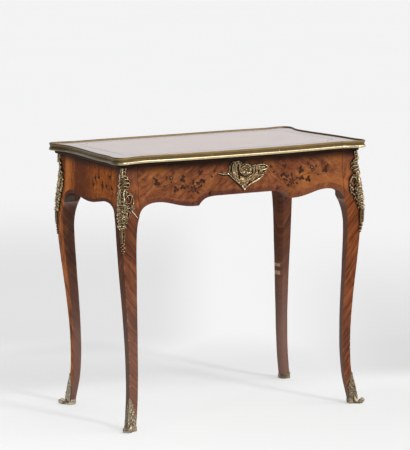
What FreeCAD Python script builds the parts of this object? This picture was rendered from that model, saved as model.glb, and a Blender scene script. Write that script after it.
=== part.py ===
import FreeCAD, Part
import math
import os

# Small serpentine writing table with cabriole legs, one long frieze drawer,
# a brass-rimmed top and cast bronze mounts.  Millimetres, +Z up, front faces -Y,
# origin on the floor under the middle of the top.

V = FreeCAD.Vector

# ------------------------------------------------------------------ driving dimensions
HALF_W = 383.0          # half width over the brass rim at the corner ears
HALF_D = 236.0          # half depth over the brass rim at the corner ears
HEIGHT = 740.0          # floor to the top of the brass lip
RIM_BOTTOM = HEIGHT - 19.5   # underside of the brass rim
TOP_FACE = HEIGHT - 3.0      # writing surface
VENEER = 1.0            # thickness of the veneer sheets on the top
BOARD_BOTTOM = 711.0    # underside of the top board, upper end of the legs
RIM_DEPTH = 6.0         # brass thickness against the edge of the board
FIT = 0.15              # glue-line clearance between brass and board

# right half of the outline over the brass rim, from the middle of the front to the middle of the back:
# a swelling front, lobed ears at the corners, coves beside them, sides that draw in towards the back
TOP_LINE = [(0, -236), (50, -235.7), (100, -234.6), (150, -232.4), (195, -229.2), (235, -225.2), (268, -221.8), (292, -220.2),
            (312, -221.4), (330, -226), (344, -231.2), (356, -234), (368, -231.8), (377, -223.5), (382, -211.5), (383, -200),
            (381.6, -187), (379.2, -174), (378, -160), (378, -140), (378, -115), (377.2, -85), (375.6, -55), (373.2, -25),
            (370.4, 5), (367.8, 35), (366, 65), (365, 95), (365.2, 120), (367.2, 143), (371.6, 163), (377, 180), (381.4, 194),
            (383, 206), (381.6, 217), (376.6, 227), (368, 233.5), (356, 235.96), (342, 234.6), (328, 231), (314, 227.4),
            (300, 225.6), (284, 225.8), (262, 227.6), (230, 229.4), (180, 230.2), (120, 229.2), (60, 227.8), (0, 227.2)]
# the same for the dark moulded edge of the board, under the brass
EDGE_LINE = [(0, -221.5), (100, -219.5), (195, -214.5), (268, -210.5), (300, -210), (330, -211), (350, -213.2), (362, -211),
             (367.5, -203), (368.5, -194), (367.5, -178), (366, -150), (365.5, -110), (364.5, -60), (362.5, -10), (360.2, 40),
             (358.8, 80), (358.6, 115), (360.5, 145), (364.5, 172), (367.5, 192), (368.5, 204), (366, 214.5), (359, 220.6),
             (350, 221.6), (335, 219.6), (315, 216.4), (290, 214.6), (240, 215), (160, 215.4), (80, 214.6), (0, 214)]
SEAM_FRONT, SEAM_SIDE_FRONT, SEAM_SIDE_BACK, SEAM_BACK = 305.0, -178.0, 138.0, 292.0   # where the lengths of brass butt

STILE_IN = 70.7         # inset of the leg's inner joint faces from the ear corner
FACE_TOP = 28.5         # inset of the outer faces at the top of the legs
FRONT_SWELL = 4.0       # plan swell of the front and back aprons
SIDE_SWELL = 3.0        # plan swell of the side aprons

DRAWER_GAP = 1.0        # gap round the drawer front
DRAWER_BACK_PLANE = -190.0   # flat inner face of the drawer front
DRAWER_SIDE_X = 292.0   # outer face of the drawer sides
DRAWER_SIDE_T = 10.0
DRAWER_Z0, DRAWER_Z1 = 626.0, 696.0
DRAWER_END_Y = 160.0
KEY_X, KEY_Z = -14.0, 672.0  # keyhole

SHOE_FLOOR = 4.0        # thickness of the bronze under each foot
TOE_R = 7.6             # radius of the scrolled toe
TOE_OUT = 12.6          # centre of the scroll, out from the arris along the diagonal

OUT = "parts"
os.makedirs(OUT, exist_ok=True)

# leg profile: inset of the outer arris from the ear corner, along X and Y alike
ARRIS = [(0, 29.0), (12, 30.0), (25, 31.6), (50, 35.2), (75, 38.8), (100, 41.0), (126, 42.1),
         (150, 42.4), (180, 42.2), (205, 41.7), (230, 40.6), (255, 39.2), (280, 37.5),
         (305, 35.8), (330, 33.8), (355, 31.6), (380, 29.3), (405, 27.1), (430, 25.0),
         (455, 23.1), (480, 21.5), (500, 20.3), (525, 19.4), (550, 19.3), (575, 20.2),
         (600, 22.2), (625, 25.0), (650, 27.3), (680, 28.3), (711, 28.5)]
# inset of the inner faces
INNER = [(0, 51.5), (12, 53.0), (25, 55.0), (50, 59.2), (75, 62.8), (100, 65.0), (126, 66.4),
         (150, 67.4), (180, 67.7), (205, 67.5), (230, 67.3), (255, 67.0), (280, 66.3),
         (305, 65.6), (330, 64.8), (355, 63.7), (380, 62.9), (405, 62.4), (430, 61.5),
         (455, 60.7), (480, 60.2), (500, 60.1), (525, 60.8), (540, 61.9), (552, 63.4),
         (564, 65.9), (574, 69.0), (584, 73.2), (596, 77.5), (615, 79.5), (650, 80.0),
         (680, 80.0), (711, 80.0)]


def lerp_table(table, z):
    """Smooth value of a profile table at z (Catmull-Rom on uneven stations)."""
    n = len(table)
    if z <= table[0][0]:
        return table[0][1]
    if z >= table[-1][0]:
        return table[-1][1]
    i = 0
    while table[i + 1][0] < z:
        i += 1
    z0, a = table[i]
    z1, b = table[i + 1]
    h = z1 - z0
    ma = (b - table[i - 1][1]) / (z1 - table[i - 1][0]) if i > 0 else (b - a) / h
    mb = (table[i + 2][1] - a) / (table[i + 2][0] - z0) if i + 2 < n else (b - a) / h
    t = (z - z0) / h
    return ((2 * t ** 3 - 3 * t ** 2 + 1) * a + (t ** 3 - 2 * t ** 2 + t) * h * ma
            + (-2 * t ** 3 + 3 * t ** 2) * b + (t ** 3 - t ** 2) * h * mb)


def arris(z):
    return lerp_table(ARRIS, z)


def inner(z):
    return lerp_table(INNER, z)


def save(shape, name):
    if shape.ShapeType == "Compound" and len(shape.Solids) == 1:
        shape = shape.Solids[0]
    bad = [s for s in shape.Solids if not s.isValid()]
    print("%-28s solids %d  valid %s  volume %.1f cm3" %
          (name, len(shape.Solids), not bad and shape.isValid(), shape.Volume / 1000.0))
    shape.exportStep(os.path.join(OUT, name + ".step"))


def box(x0, x1, y0, y1, z0, z1):
    return Part.makeBox(x1 - x0, y1 - y0, z1 - z0, V(x0, y0, z0))


def poly(points):
    return Part.makePolygon([V(*p) for p in points] + [V(*points[0])])


def prism(points, vec):
    return Part.Face(poly(points)).extrude(V(*vec))


def spline(points):
    c = Part.BSplineCurve()
    c.interpolate([V(*p) for p in points])
    return c.toShape()


def loft(sections):
    s = Part.makeLoft([poly(p) for p in sections], True, False)
    return s if s.ShapeType == "Solid" else s.Solids[0]


def one(shape):
    """The single solid of a boolean's result."""
    big = max(shape.Solids, key=lambda s: s.Volume)
    return big


# ------------------------------------------------------------------ outline of the top
def closed_curve(half, per=40):
    """Dense smooth closed curve through a mirrored half outline, counter-clockwise seen from above."""
    p = [(float(x), float(y)) for x, y in half]
    p = p + [(-x, y) for x, y in p[-2:0:-1]]
    n = len(p)
    d = [math.sqrt(math.hypot(p[(i + 1) % n][0] - p[i][0], p[(i + 1) % n][1] - p[i][1])) for i in range(n)]
    out = []
    for i in range(n):
        a, b, c, e = p[i - 1], p[i], p[(i + 1) % n], p[(i + 2) % n]
        d0, d1, d2 = d[i - 1], d[i], d[(i + 1) % n]
        m1 = [((b[k] - a[k]) / d0 - (c[k] - a[k]) / (d0 + d1) + (c[k] - b[k]) / d1) * d1 for k in (0, 1)]
        m2 = [((c[k] - b[k]) / d1 - (e[k] - b[k]) / (d1 + d2) + (e[k] - c[k]) / d2) * d1 for k in (0, 1)]
        for j in range(per):
            t = j / per
            h00, h10 = 2 * t ** 3 - 3 * t * t + 1, t ** 3 - 2 * t * t + t
            h01, h11 = -2 * t ** 3 + 3 * t * t, t ** 3 - t * t
            out.append(tuple(h00 * b[k] + h10 * m1[k] + h01 * c[k] + h11 * m2[k] for k in (0, 1)))
    return out


def with_normals(c):
    n = len(c)
    out = []
    for i in range(n):
        a, b = c[i - 1], c[(i + 1) % n]
        tx, ty = b[0] - a[0], b[1] - a[1]
        w = math.hypot(tx, ty)
        out.append((c[i][0], c[i][1], ty / w, -tx / w))
    return out


def resample(pts, count):
    """Evenly spaced (x, y, nx, ny) along a run."""
    s = [0.0]
    for i in range(1, len(pts)):
        s.append(s[-1] + math.hypot(pts[i][0] - pts[i - 1][0], pts[i][1] - pts[i - 1][1]))
    out, j = [], 0
    for k in range(count):
        want = s[-1] * k / (count - 1)
        while j < len(s) - 2 and s[j + 1] < want:
            j += 1
        f = min(1.0, max(0.0, (want - s[j]) / (s[j + 1] - s[j])))
        v = [pts[j][m] + (pts[j + 1][m] - pts[j][m]) * f for m in range(4)]
        w = math.hypot(v[2], v[3])
        out.append((v[0], v[1], v[2] / w, v[3] / w))
    return out


def outline_pieces():
    """Eight runs of (x, y, nx, ny), counter-clockwise: the ear pieces and the runs between them."""
    c = with_normals(closed_curve(TOP_LINE))
    n = len(c)

    def at(test, value, index):
        """Index of the point nearest to a seam, among the points that pass a test."""
        return min((i for i in range(n) if test(c[i])), key=lambda i: abs(c[i][index] - value))

    marks = [
        at(lambda p: p[1] < -150 and p[0] < 0, -SEAM_FRONT, 0),
        at(lambda p: p[1] < -150 and p[0] > 0, SEAM_FRONT, 0),
        at(lambda p: p[0] > 330, SEAM_SIDE_FRONT, 1),
        at(lambda p: p[0] > 330, SEAM_SIDE_BACK, 1),
        at(lambda p: p[1] > 150 and p[0] > 0, SEAM_BACK, 0),
        at(lambda p: p[1] > 150 and p[0] < 0, -SEAM_BACK, 0),
        at(lambda p: p[0] < -330, SEAM_SIDE_BACK, 1),
        at(lambda p: p[0] < -330, SEAM_SIDE_FRONT, 1),
    ]
    names = ["rim_front", "rim_corner_front_right", "rim_right", "rim_corner_back_right", "rim_back", "rim_corner_back_left",
             "rim_left", "rim_corner_front_left"]
    counts = [49, 31, 33, 31, 49, 31, 33, 31]
    out = []
    for i in range(8):
        a, b = marks[i], marks[(i + 1) % 8]
        run = c[a:b + 1] if a < b else c[a:] + c[:b + 1]
        out.append((names[i], resample(run, counts[i])))
    return out


OUTLINE = outline_pieces()


def outline_face(offset, z):
    """The outline moved in, as one smooth closed curve."""
    c = with_normals(closed_curve(TOP_LINE))
    line = Part.BSplineCurve()
    line.interpolate([V(x + nx * offset, y + ny * offset, z) for x, y, nx, ny in resample(c + c[:1], 321)[:-1]], True)
    return Part.Face(Part.Wire([line.toShape()]))


# ------------------------------------------------------------------ brass rim round the top
# section of the rim: outward offset, height over its underside (a roll below, a hollow, a lip above)
RIM_SECTION = [(-6.0, 0.0), (-1.3, 0.0), (-0.2, 1.0), (0.0, 2.9), (-0.4, 5.1), (-1.6, 6.7), (-3.0, 7.5), (-3.4, 9.1),
               (-3.0, 11.3), (-2.2, 13.5), (-1.2, 15.3), (-1.0, 17.3), (-1.6, 18.8), (-3.0, 19.5), (-4.8, 19.3), (-6.0, 18.1)]

rim = {}
for name, pts in OUTLINE:
    sections = [[(x + nx * n, y + ny * n, RIM_BOTTOM + z) for n, z in RIM_SECTION] for x, y, nx, ny in pts]
    rim[name] = loft(sections)

# round brass pins that hold the rim, driven through its hollow into the board
PIN_Z, PIN_R = RIM_BOTTOM + 9.1, 1.1
rim_pins = []


def rim_pin(piece, index):
    pts = dict(OUTLINE)[piece]
    x, y, nx, ny = pts[index]
    c = Part.makeCylinder(PIN_R, 15.0, V(x - nx * 17.6, y - ny * 17.6, PIN_Z), V(nx, ny, 0))
    rim_pins.append(c)
    rim[piece] = one(rim[piece].cut(c))


for piece in ("rim_front", "rim_back"):
    for i in (2, 16, 32, 46):
        rim_pin(piece, i)
for piece in ("rim_left", "rim_right"):
    for i in (2, 16, 30):
        rim_pin(piece, i)
for piece in ("rim_corner_front_left", "rim_corner_front_right", "rim_corner_back_left", "rim_corner_back_right"):
    for i in (2, 28):
        rim_pin(piece, i)

# ------------------------------------------------------------------ top board and its veneer
upper = outline_face(-RIM_DEPTH - FIT, RIM_BOTTOM - 0.5).extrude(V(0, 0, TOP_FACE - VENEER - RIM_BOTTOM + 0.5))
# moulded dark edge below the brass: an ovolo worked on the board itself
EDGE = [(711.0, -3.2), (712.0, -1.6), (714.0, -0.7), (717.0, -0.2), (720.0, 0.0)]
edge_run = resample(with_normals(closed_curve(EDGE_LINE)) + with_normals(closed_curve(EDGE_LINE))[:1], 161)[:-1]
low_sections = []
for z, off in EDGE:
    line = Part.BSplineCurve()
    line.interpolate([V(x + nx * off, y + ny * off, z) for x, y, nx, ny in edge_run], True)
    low_sections.append(Part.Wire([line.toShape()]))
lower = Part.makeLoft(low_sections, True, False)
lower = lower if lower.ShapeType == "Solid" else lower.Solids[0]
top_board = one(upper.fuse(lower).removeSplitter())
for p in rim_pins:
    top_board = one(top_board.cut(p))

fa, fb, fr = HALF_W - 62.0, HALF_D - 60.0, 34.0     # veneer field with scooped corners
field_edges = []
corners = [(1, -1), (1, 1), (-1, 1), (-1, -1)]
arcs = []
for qx, qy in corners:
    c = V(qx * fa, qy * fb, TOP_FACE - VENEER)
    pa = V(qx * (fa - fr), qy * fb, c.z)
    pb = V(qx * fa, qy * (fb - fr), c.z)
    m = V(qx * (fa - fr / math.sqrt(2)), qy * (fb - fr / math.sqrt(2)), c.z)
    arcs.append((pa, m, pb) if qx * qy < 0 else (pb, m, pa))
for i in range(4):
    a0 = arcs[i]
    field_edges.append(Part.Arc(*a0).toShape())
    field_edges.append(Part.LineSegment(a0[2], arcs[(i + 1) % 4][0]).toShape())
field_face = Part.Face(Part.Wire(field_edges))
top_field = field_face.extrude(V(0, 0, VENEER))
top_band = one(outline_face(-RIM_DEPTH - FIT, TOP_FACE - VENEER).extrude(V(0, 0, VENEER)).cut(top_field))

# ------------------------------------------------------------------ legs
LEG_Z = [SHOE_FLOOR, 12, 25, 50, 75, 100, 126, 150, 180, 205, 230, 255, 280, 305, 330, 355, 380, 405, 430, 455, 480,
         500, 518, 534, 548, 560, 572, 584, 597, 612, 632, 655, 682, 711]


def leg_section(z, qx, qy):
    o, i = arris(z), inner(z)
    s = i - o
    c = 0.32 * s if z < 520 else max(8.0, 0.32 * s * (1 - (z - 520) / 90.0)) if z < 610 else 8.0
    pts = [(o, o), (i, o), (i, i - c), (i - c * 0.42, i - c * 0.42), (i - c, i), (o, i)]
    return [(qx * (HALF_W - u), qy * (HALF_D - v), z) for u, v in pts]


def raw_leg(qx, qy):
    s = loft([leg_section(z, qx, qy) for z in LEG_Z])
    far = 400.0
    jx, jy = HALF_W - STILE_IN, HALF_D - STILE_IN
    # trim the flare square at the joint faces, where the aprons butt
    cut1 = box(-far, far, -far, far, 540, 760)
    keep = box(min(qx * jx, qx * far), max(qx * jx, qx * far), min(qy * jy, qy * far), max(qy * jy, qy * far), 539, 761)
    return one(s.cut(cut1.cut(keep)))


# ------------------------------------------------------------------ aprons
JX, JY = HALF_W - STILE_IN, HALF_D - STILE_IN       # joint faces at x = +-JX, y = +-JY
FRONT_EDGE = [(JX, 580.0), (308.2, 590.5), (303.0, 597.6), (296.0, 603.2), (287.0, 607.6), (276.0, 610.8),
              (264.0, 612.4), (252.0, 612.5), (240.0, 611.3), (227.0, 608.9), (214.0, 605.5), (201.0, 602.1),
              (189.0, 599.3), (177.0, 597.1), (165.0, 595.7), (153.0, 595.1), (144.0, 595.0), (136.5, 595.6)]
FRONT_STEP = [(136.5, 595.6), (133.4, 599.4), (129.4, 603.6), (124.4, 608.0), (118.0, 612.0), (110.0, 615.0),
              (98.0, 617.2), (80.0, 618.2)]
SIDE_EDGE = [(JY, 580.0), (162.0, 588.6), (157.4, 595.0), (150.0, 600.6), (140.0, 605.0), (127.0, 608.2),
             (113.0, 609.7), (100.0, 609.9), (88.0, 609.0), (75.0, 607.4), (62.0, 605.4), (49.0, 603.2),
             (36.0, 601.2), (23.0, 599.8), (10.0, 599.0), (0.0, 598.8)]


def long_surface(sign, z0=560.0, z1=711.0):
    """Bombe front (sign -1) or back (+1) surface as a face, a little wider than the joint faces."""
    rows = []
    zs = [z0 + (z1 - z0) * k / 14 for k in range(15)]
    xs = [-330.0 + 660.0 * k / 32 for k in range(33)]
    for x in xs:
        t = min(1.0, abs(x) / JX)
        g = FRONT_SWELL * (1 - t * t) ** 2
        rows.append([V(x, sign * (HALF_D - arris(z) + g), z) for z in zs])
    s = Part.BSplineSurface()
    s.interpolate(rows)
    return s.toShape()


def side_surface(sign, z0=560.0, z1=711.0):
    rows = []
    zs = [z0 + (z1 - z0) * k / 14 for k in range(15)]
    ys = [-180.0 + 360.0 * k / 24 for k in range(25)]
    for y in ys:
        t = min(1.0, abs(y) / JY)
        g = SIDE_SWELL * (1 - t * t) ** 2
        w = 0.3 + 0.7 * t * t * (3 - 2 * t) if t < 1 else 1.0
        rows.append([V(sign * (HALF_W - FACE_TOP + (FACE_TOP - arris(z)) * w + g), y, z) for z in zs])
    s = Part.BSplineSurface()
    s.interpolate(rows)
    return s.toShape()


def contour_edges(edge, step, top, place):
    """Closed outline: shaped lower edge, plumb ends and straight top, mapped by place(t, z)."""
    right = spline([place(*p) for p in edge])
    left = spline([place(-t, z) for t, z in edge][::-1])
    if step:
        r2 = spline([place(*p) for p in step])
        l2 = spline([place(-t, z) for t, z in step][::-1])
        mid = Part.LineSegment(V(*place(step[-1][0], step[-1][1])), V(*place(-step[-1][0], step[-1][1]))).toShape()
        bottom = [right, r2, mid, l2, left]
    else:
        full = [place(*p) for p in edge] + [place(-t, z) for t, z in edge[:-1][::-1]]
        bottom = [spline(full)]
    a, b = place(edge[0][0], edge[0][1]), place(-edge[0][0], edge[0][1])
    ta, tb = place(edge[0][0], top), place(-edge[0][0], top)
    seg = [Part.LineSegment(V(*b), V(*tb)).toShape(), Part.LineSegment(V(*tb), V(*ta)).toShape(),
           Part.LineSegment(V(*ta), V(*a)).toShape()]
    return Part.Face(Part.Wire(Part.__sortEdges__(bottom + seg)))


def long_apron(sign, y_flat, half, top):
    """Front or back apron: bombe outside, flat inside at |y| = y_flat."""
    slab = long_surface(sign).extrude(V(0, -sign * 90.0, 0))
    f = contour_edges(FRONT_EDGE, FRONT_STEP, top, lambda t, z: (t, sign * y_flat, z))
    solid = f.extrude(V(0, sign * 120.0, 0))
    s = one(slab.common(solid))
    if half < JX:
        s = one(s.common(box(-half, half, -400, 400, 500, 800)))
    return s


def side_apron(sign, x_flat):
    slab = side_surface(sign).extrude(V(-sign * 90.0, 0, 0))
    f = contour_edges(SIDE_EDGE, None, BOARD_BOTTOM, lambda t, z: (sign * x_flat, t, z))
    solid = f.extrude(V(sign * 120.0, 0, 0))
    return one(slab.common(solid))


SIDE_FLAT, BACK_FLAT = 331.0, 186.0
TENON_T0, TENON_T1 = 33.5, 43.5      # tenon thickness, as insets from the ear corner
TENON_LEN, TENON_Z0, TENON_Z1 = 22.0, 622.0, 694.0


def side_tenons(sign, grow=0.0):
    x0, x1 = sorted((sign * (HALF_W - TENON_T0 + grow), sign * (HALF_W - TENON_T1 - grow)))
    return [box(x0, x1, *sorted((q * JY, q * (JY + TENON_LEN + grow))), TENON_Z0 - grow, TENON_Z1 + grow) for q in (-1, 1)]


def back_tenons(grow=0.0):
    y0, y1 = HALF_D - TENON_T1 - grow, HALF_D - TENON_T0 + grow
    return [box(*sorted((q * JX, q * (JX + TENON_LEN + grow))), y0, y1, TENON_Z0 - grow, TENON_Z1 + grow) for q in (-1, 1)]


side_aprons = {}
for sign, nm in ((-1, "side_apron_left"), (1, "side_apron_right")):
    s = side_apron(sign, SIDE_FLAT)
    for t in side_tenons(sign):
        s = one(s.fuse(t))
    side_aprons[nm] = s
back_apron = long_apron(1, BACK_FLAT, JX, BOARD_BOTTOM)
for t in back_tenons():
    back_apron = one(back_apron.fuse(t))

# ------------------------------------------------------------------ front top rail, lapped into the legs by dovetails
RAIL_Z0 = 699.0
RAIL_Y0, RAIL_Y1 = -189.3, -140.0
rail = box(-JX, JX, RAIL_Y0, RAIL_Y1, RAIL_Z0, BOARD_BOTTOM)
tails = []
for q in (-1, 1):
    t = prism([(q * JX, -184.5, RAIL_Z0), (q * (JX + 24.0), -187.5, RAIL_Z0), (q * (JX + 24.0), -167.0, RAIL_Z0),
               (q * JX, -170.0, RAIL_Z0)], (0, 0, BOARD_BOTTOM - RAIL_Z0))
    tails.append(t)
    rail = one(rail.fuse(t))

legs = {}
for nm, qx, qy in (("leg_front_left", -1, -1), ("leg_front_right", 1, -1), ("leg_back_left", -1, 1), ("leg_back_right", 1, 1)):
    s = raw_leg(qx, qy)
    for t in side_tenons(qx, 0.1):
        s = one(s.cut(t))
    if qy > 0:
        for t in back_tenons(0.1):
            s = one(s.cut(t))
    else:
        s = one(s.cut(tails[0 if qx < 0 else 1]))
    legs[nm] = s

# ------------------------------------------------------------------ drawer
drawer_front = long_apron(-1, -DRAWER_BACK_PLANE, JX - DRAWER_GAP, BOARD_BOTTOM - DRAWER_GAP)
XI = DRAWER_SIDE_X - DRAWER_SIDE_T
BOTTOM_Z0, BOTTOM_Z1 = 631.0, 637.0


def tail_set(q):
    out = []
    for zc in (648.0, 679.0):
        out.append(prism([(q * XI, DRAWER_BACK_PLANE, zc - 7.5), (q * XI, DRAWER_BACK_PLANE - 11.0, zc - 10.0),
                          (q * XI, DRAWER_BACK_PLANE - 11.0, zc + 10.0), (q * XI, DRAWER_BACK_PLANE, zc + 7.5)],
                         (q * DRAWER_SIDE_T, 0, 0)))
    return out


drawer_bottom = box(-XI - 5.0, XI + 5.0, DRAWER_BACK_PLANE, DRAWER_END_Y, BOTTOM_Z0, BOTTOM_Z1)
drawer_bottom = one(drawer_bottom.fuse(box(-XI + 0.5, XI - 0.5, DRAWER_BACK_PLANE - 5.0, DRAWER_BACK_PLANE, BOTTOM_Z0, BOTTOM_Z1)))
drawer_back = box(-XI - 4.0, XI + 4.0, DRAWER_END_Y - 10.0, DRAWER_END_Y, BOTTOM_Z1, 690.0)
drawer_sides = {}
for q, nm in ((-1, "drawer_side_left"), (1, "drawer_side_right")):
    x0, x1 = sorted((q * XI, q * DRAWER_SIDE_X))
    s = box(x0, x1, DRAWER_BACK_PLANE, DRAWER_END_Y, DRAWER_Z0, DRAWER_Z1)
    for t in tail_set(q):
        s = one(s.fuse(t))
        drawer_front = one(drawer_front.cut(t))
    s = one(s.cut(drawer_bottom).cut(drawer_back))
    drawer_sides[nm] = s
drawer_front = one(drawer_front.cut(drawer_bottom))

# lock on the inside of the drawer front: case, cover with key pin, bolt, spring, screws
CASE = dict(x0=KEY_X - 32.0, x1=KEY_X + 32.0, y0=DRAWER_BACK_PLANE - 3.0, y1=DRAWER_BACK_PLANE + 12.5, z0=650.0, z1=697.5)
recess = box(CASE["x0"], CASE["x1"], CASE["y0"], DRAWER_BACK_PLANE + 1, CASE["z0"], CASE["z1"])
drawer_front = one(drawer_front.cut(recess))
W = 1.6
case = box(CASE["x0"], CASE["x1"], CASE["y0"], CASE["y1"], CASE["z0"], CASE["z1"])
case = case.cut(box(CASE["x0"] + W, CASE["x1"] - W, CASE["y0"] + W, CASE["y1"] + 1, CASE["z0"] + W, CASE["z1"] - W))
BOLT_X0, BOLT_X1 = KEY_X - 12.0, KEY_X + 12.0
BOLT_Y0, BOLT_Y1 = CASE["y0"] + 8.5, CASE["y0"] + 12.5
BOLT_THROW = 8.0
case = case.cut(box(BOLT_X0 - 0.3, BOLT_X1 + 0.3, BOLT_Y0 - 0.3, BOLT_Y1 + 0.3, CASE["z1"] - W - 1, CASE["z1"] + 1))
key_r = 2.8
keyhole = Part.makeCylinder(key_r, 60.0, V(KEY_X, -235.0, KEY_Z), V(0, 1, 0))
keyslot = box(KEY_X - 1.4, KEY_X + 1.4, -235.0, -175.0, KEY_Z - 9.5, KEY_Z)
key_path = keyhole.fuse(keyslot)
front_wall = box(CASE["x0"] - 1, CASE["x1"] + 1, CASE["y0"] - 1, CASE["y0"] + W + 0.2, CASE["z0"], CASE["z1"])
case = one(case.cut(key_path.common(front_wall)))
lock_cover = box(CASE["x0"] + W, CASE["x1"] - W, CASE["y1"] - 1.4, CASE["y1"], CASE["z0"] + W, CASE["z1"] - W)
key_pin = Part.makeCylinder(1.1, 12.6, V(KEY_X, CASE["y1"] - 14.0, KEY_Z), V(0, 1, 0))
lock_cover = one(lock_cover.fuse(key_pin))
# bolt: head through the case's top, body with a notch that clears the key
bolt = box(BOLT_X0, BOLT_X1, BOLT_Y0, BOLT_Y1, CASE["z1"] - 20.0, CASE["z1"])
bolt = bolt.fuse(box(BOLT_X0 - 9.0, BOLT_X1 + 9.0, BOLT_Y0, BOLT_Y1, CASE["z1"] - 20.0, CASE["z1"] - W - BOLT_THROW - 0.6))
bolt = one(bolt.cut(box(KEY_X - 5.0, KEY_X + 5.0, BOLT_Y0 - 1, BOLT_Y1 + 1, CASE["z1"] - 30.0, CASE["z1"] - 14.5)).removeSplitter())
# flat spring beside the bolt
spring_lock = prism([(CASE["x1"] - W - 8.6, CASE["y0"] + 8.0, 656.0), (CASE["x1"] - W - 7.6, CASE["y0"] + 8.0, 656.0),
                     (CASE["x1"] - W - 1.2, CASE["y0"] + 8.0, 684.0), (CASE["x1"] - W - 2.2, CASE["y0"] + 8.0, 684.0)],
                    (0, 5.0, 0))
drawer_front = one(drawer_front.cut(key_path))
lock_screws = []
for dx in (-26.0, 26.0):
    for zz in (655.5, 692.0):
        h = Part.makeCylinder(2.4, 1.2, V(KEY_X + dx, CASE["y1"], zz), V(0, 1, 0))
        b = Part.makeCylinder(1.3, 25.0, V(KEY_X + dx, CASE["y1"] - 25.0, zz), V(0, 1, 0))
        lock_screws.append(one(h.fuse(b)))
for s in lock_screws:
    case = one(case.cut(s))
    lock_cover = one(lock_cover.cut(s))
    drawer_front = one(drawer_front.cut(s))

# strike plate let into the underside of the rail, with the mortise for the bolt
strike = box(KEY_X - 26.0, KEY_X + 26.0, RAIL_Y0, -173.0, RAIL_Z0, RAIL_Z0 + 1.2)
mortise = box(BOLT_X0 - 1.5, BOLT_X1 + 1.5, BOLT_Y0 - 0.8, BOLT_Y1 + 0.8, RAIL_Z0 - 1, RAIL_Z0 + 9.0)
strike = one(strike.cut(mortise))
rail = one(rail.cut(strike).cut(mortise))

# ------------------------------------------------------------------ what the drawer runs on
runners, guides, kickers = {}, {}, {}
for q, side in ((-1, "left"), (1, "right")):
    def bx(a, b, y0, y1, z0, z1):
        x0, x1 = sorted((q * a, q * b))
        return box(x0, x1, y0, y1, z0, z1)
    r = bx(276.0, JX - 1.0, -187.0, BACK_FLAT, DRAWER_Z0 - 11.0, DRAWER_Z0)
    r = one(r.fuse(bx(JX - 1.0, SIDE_FLAT, -JY + 1.0, JY - 1.0, DRAWER_Z0 - 11.0, DRAWER_Z0)).removeSplitter())
    runners[side] = r
    guides[side] = bx(DRAWER_SIDE_X + 0.6, 306.0, -186.0, BACK_FLAT, DRAWER_Z0, DRAWER_Z0 + 22.0)
    kickers[side] = bx(278.0, 308.0, -138.0, BACK_FLAT, DRAWER_Z1 + 1.0, BOARD_BOTTOM)
stops = [box(min(q * 279.0, q * 291.0), max(q * 279.0, q * 291.0), DRAWER_END_Y, BACK_FLAT, DRAWER_Z0, DRAWER_Z0 + 26.0) for q in (-1, 1)]
glue_blocks = []
for q in (-1, 1):
    x0, x1 = sorted((q * 313.0, q * SIDE_FLAT))
    for yc in (-95.0, 95.0):
        glue_blocks.append(prism([(x1 if q > 0 else x0, yc - 32.0, BOARD_BOTTOM), (x0 if q > 0 else x1, yc - 32.0, BOARD_BOTTOM),
                                  (x1 if q > 0 else x0, yc - 32.0, BOARD_BOTTOM - 18.0)], (0, 64.0, 0)))
for xc in (-150.0, 150.0):
    glue_blocks.append(prism([(xc - 32.0, BACK_FLAT, BOARD_BOTTOM), (xc - 32.0, BACK_FLAT - 18.0, BOARD_BOTTOM),
                              (xc - 32.0, BACK_FLAT, BOARD_BOTTOM - 18.0)], (64.0, 0, 0)))
top_screws = []
for q in (-1, 1):
    for yy in (-100.0, 110.0):
        head = Part.makeCone(4.2, 2.0, 3.0, V(q * 293.0, yy, DRAWER_Z1 + 1.0), V(0, 0, 1))
        shank = Part.makeCylinder(2.0, 27.0, V(q * 293.0, yy, DRAWER_Z1 + 1.0), V(0, 0, 1))
        top_screws.append(one(head.fuse(shank)))
for xx in (-200.0, 200.0):
    head = Part.makeCone(4.2, 2.0, 3.0, V(xx, -160.0, RAIL_Z0), V(0, 0, 1))
    shank = Part.makeCylinder(2.0, 25.0, V(xx, -160.0, RAIL_Z0), V(0, 0, 1))
    top_screws.append(one(head.fuse(shank)))
for s in top_screws:
    top_board = one(top_board.cut(s))
    rail = one(rail.cut(s))
    for k in kickers:
        kickers[k] = one(kickers[k].cut(s))

# ------------------------------------------------------------------ bronze mounts
CHUTE = [  # height, flange on the front or back face, flange on the side face, thickness
    (484.0, 2.6, 2.6, 2.4), (500.0, 4.0, 4.0, 3.4), (520.0, 6.0, 6.0, 4.6), (545.0, 9.0, 9.0, 6.4), (565.0, 16.0, 13.0, 7.0),
    (590.0, 23.0, 19.0, 7.4), (615.0, 26.0, 22.0, 7.4), (640.0, 24.0, 20.0, 7.0), (662.0, 17.0, 15.0, 6.4), (684.0, 13.0, 12.0, 6.0),
    (698.0, 11.0, 11.0, 5.4), (709.0, 9.0, 9.0, 4.4)]
SABOT = [  # height, flange, thickness
    (8.0, 22.8, 3.6), (16.0, 22.4, 3.6), (26.0, 19.0, 3.6), (40.0, 14.0, 3.8), (55.0, 11.0, 4.0), (66.0, 8.0, 3.4), (78.0, 5.0, 2.6),
    (89.0, 2.2, 1.6)]
COLLAR = [(0.0, 2.0), (2.0, 3.0), (7.0, 3.0), (11.0, 2.6), (14.0, 1.6)]   # height, bronze round the foot


def ell(z, wf, ws, t, qx, qy, sink=1.6):
    """L-shaped section hugging the arris of a leg; sink buries its inside in the leg before the cut."""
    o = arris(z)
    pts = [(o - t, o - t), (o + wf, o - t), (o + wf, o + sink), (o + sink, o + sink), (o + sink, o + ws), (o - t, o + ws)]
    return [(qx * (HALF_W - u), qy * (HALF_D - v), z) for u, v in pts]


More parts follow.
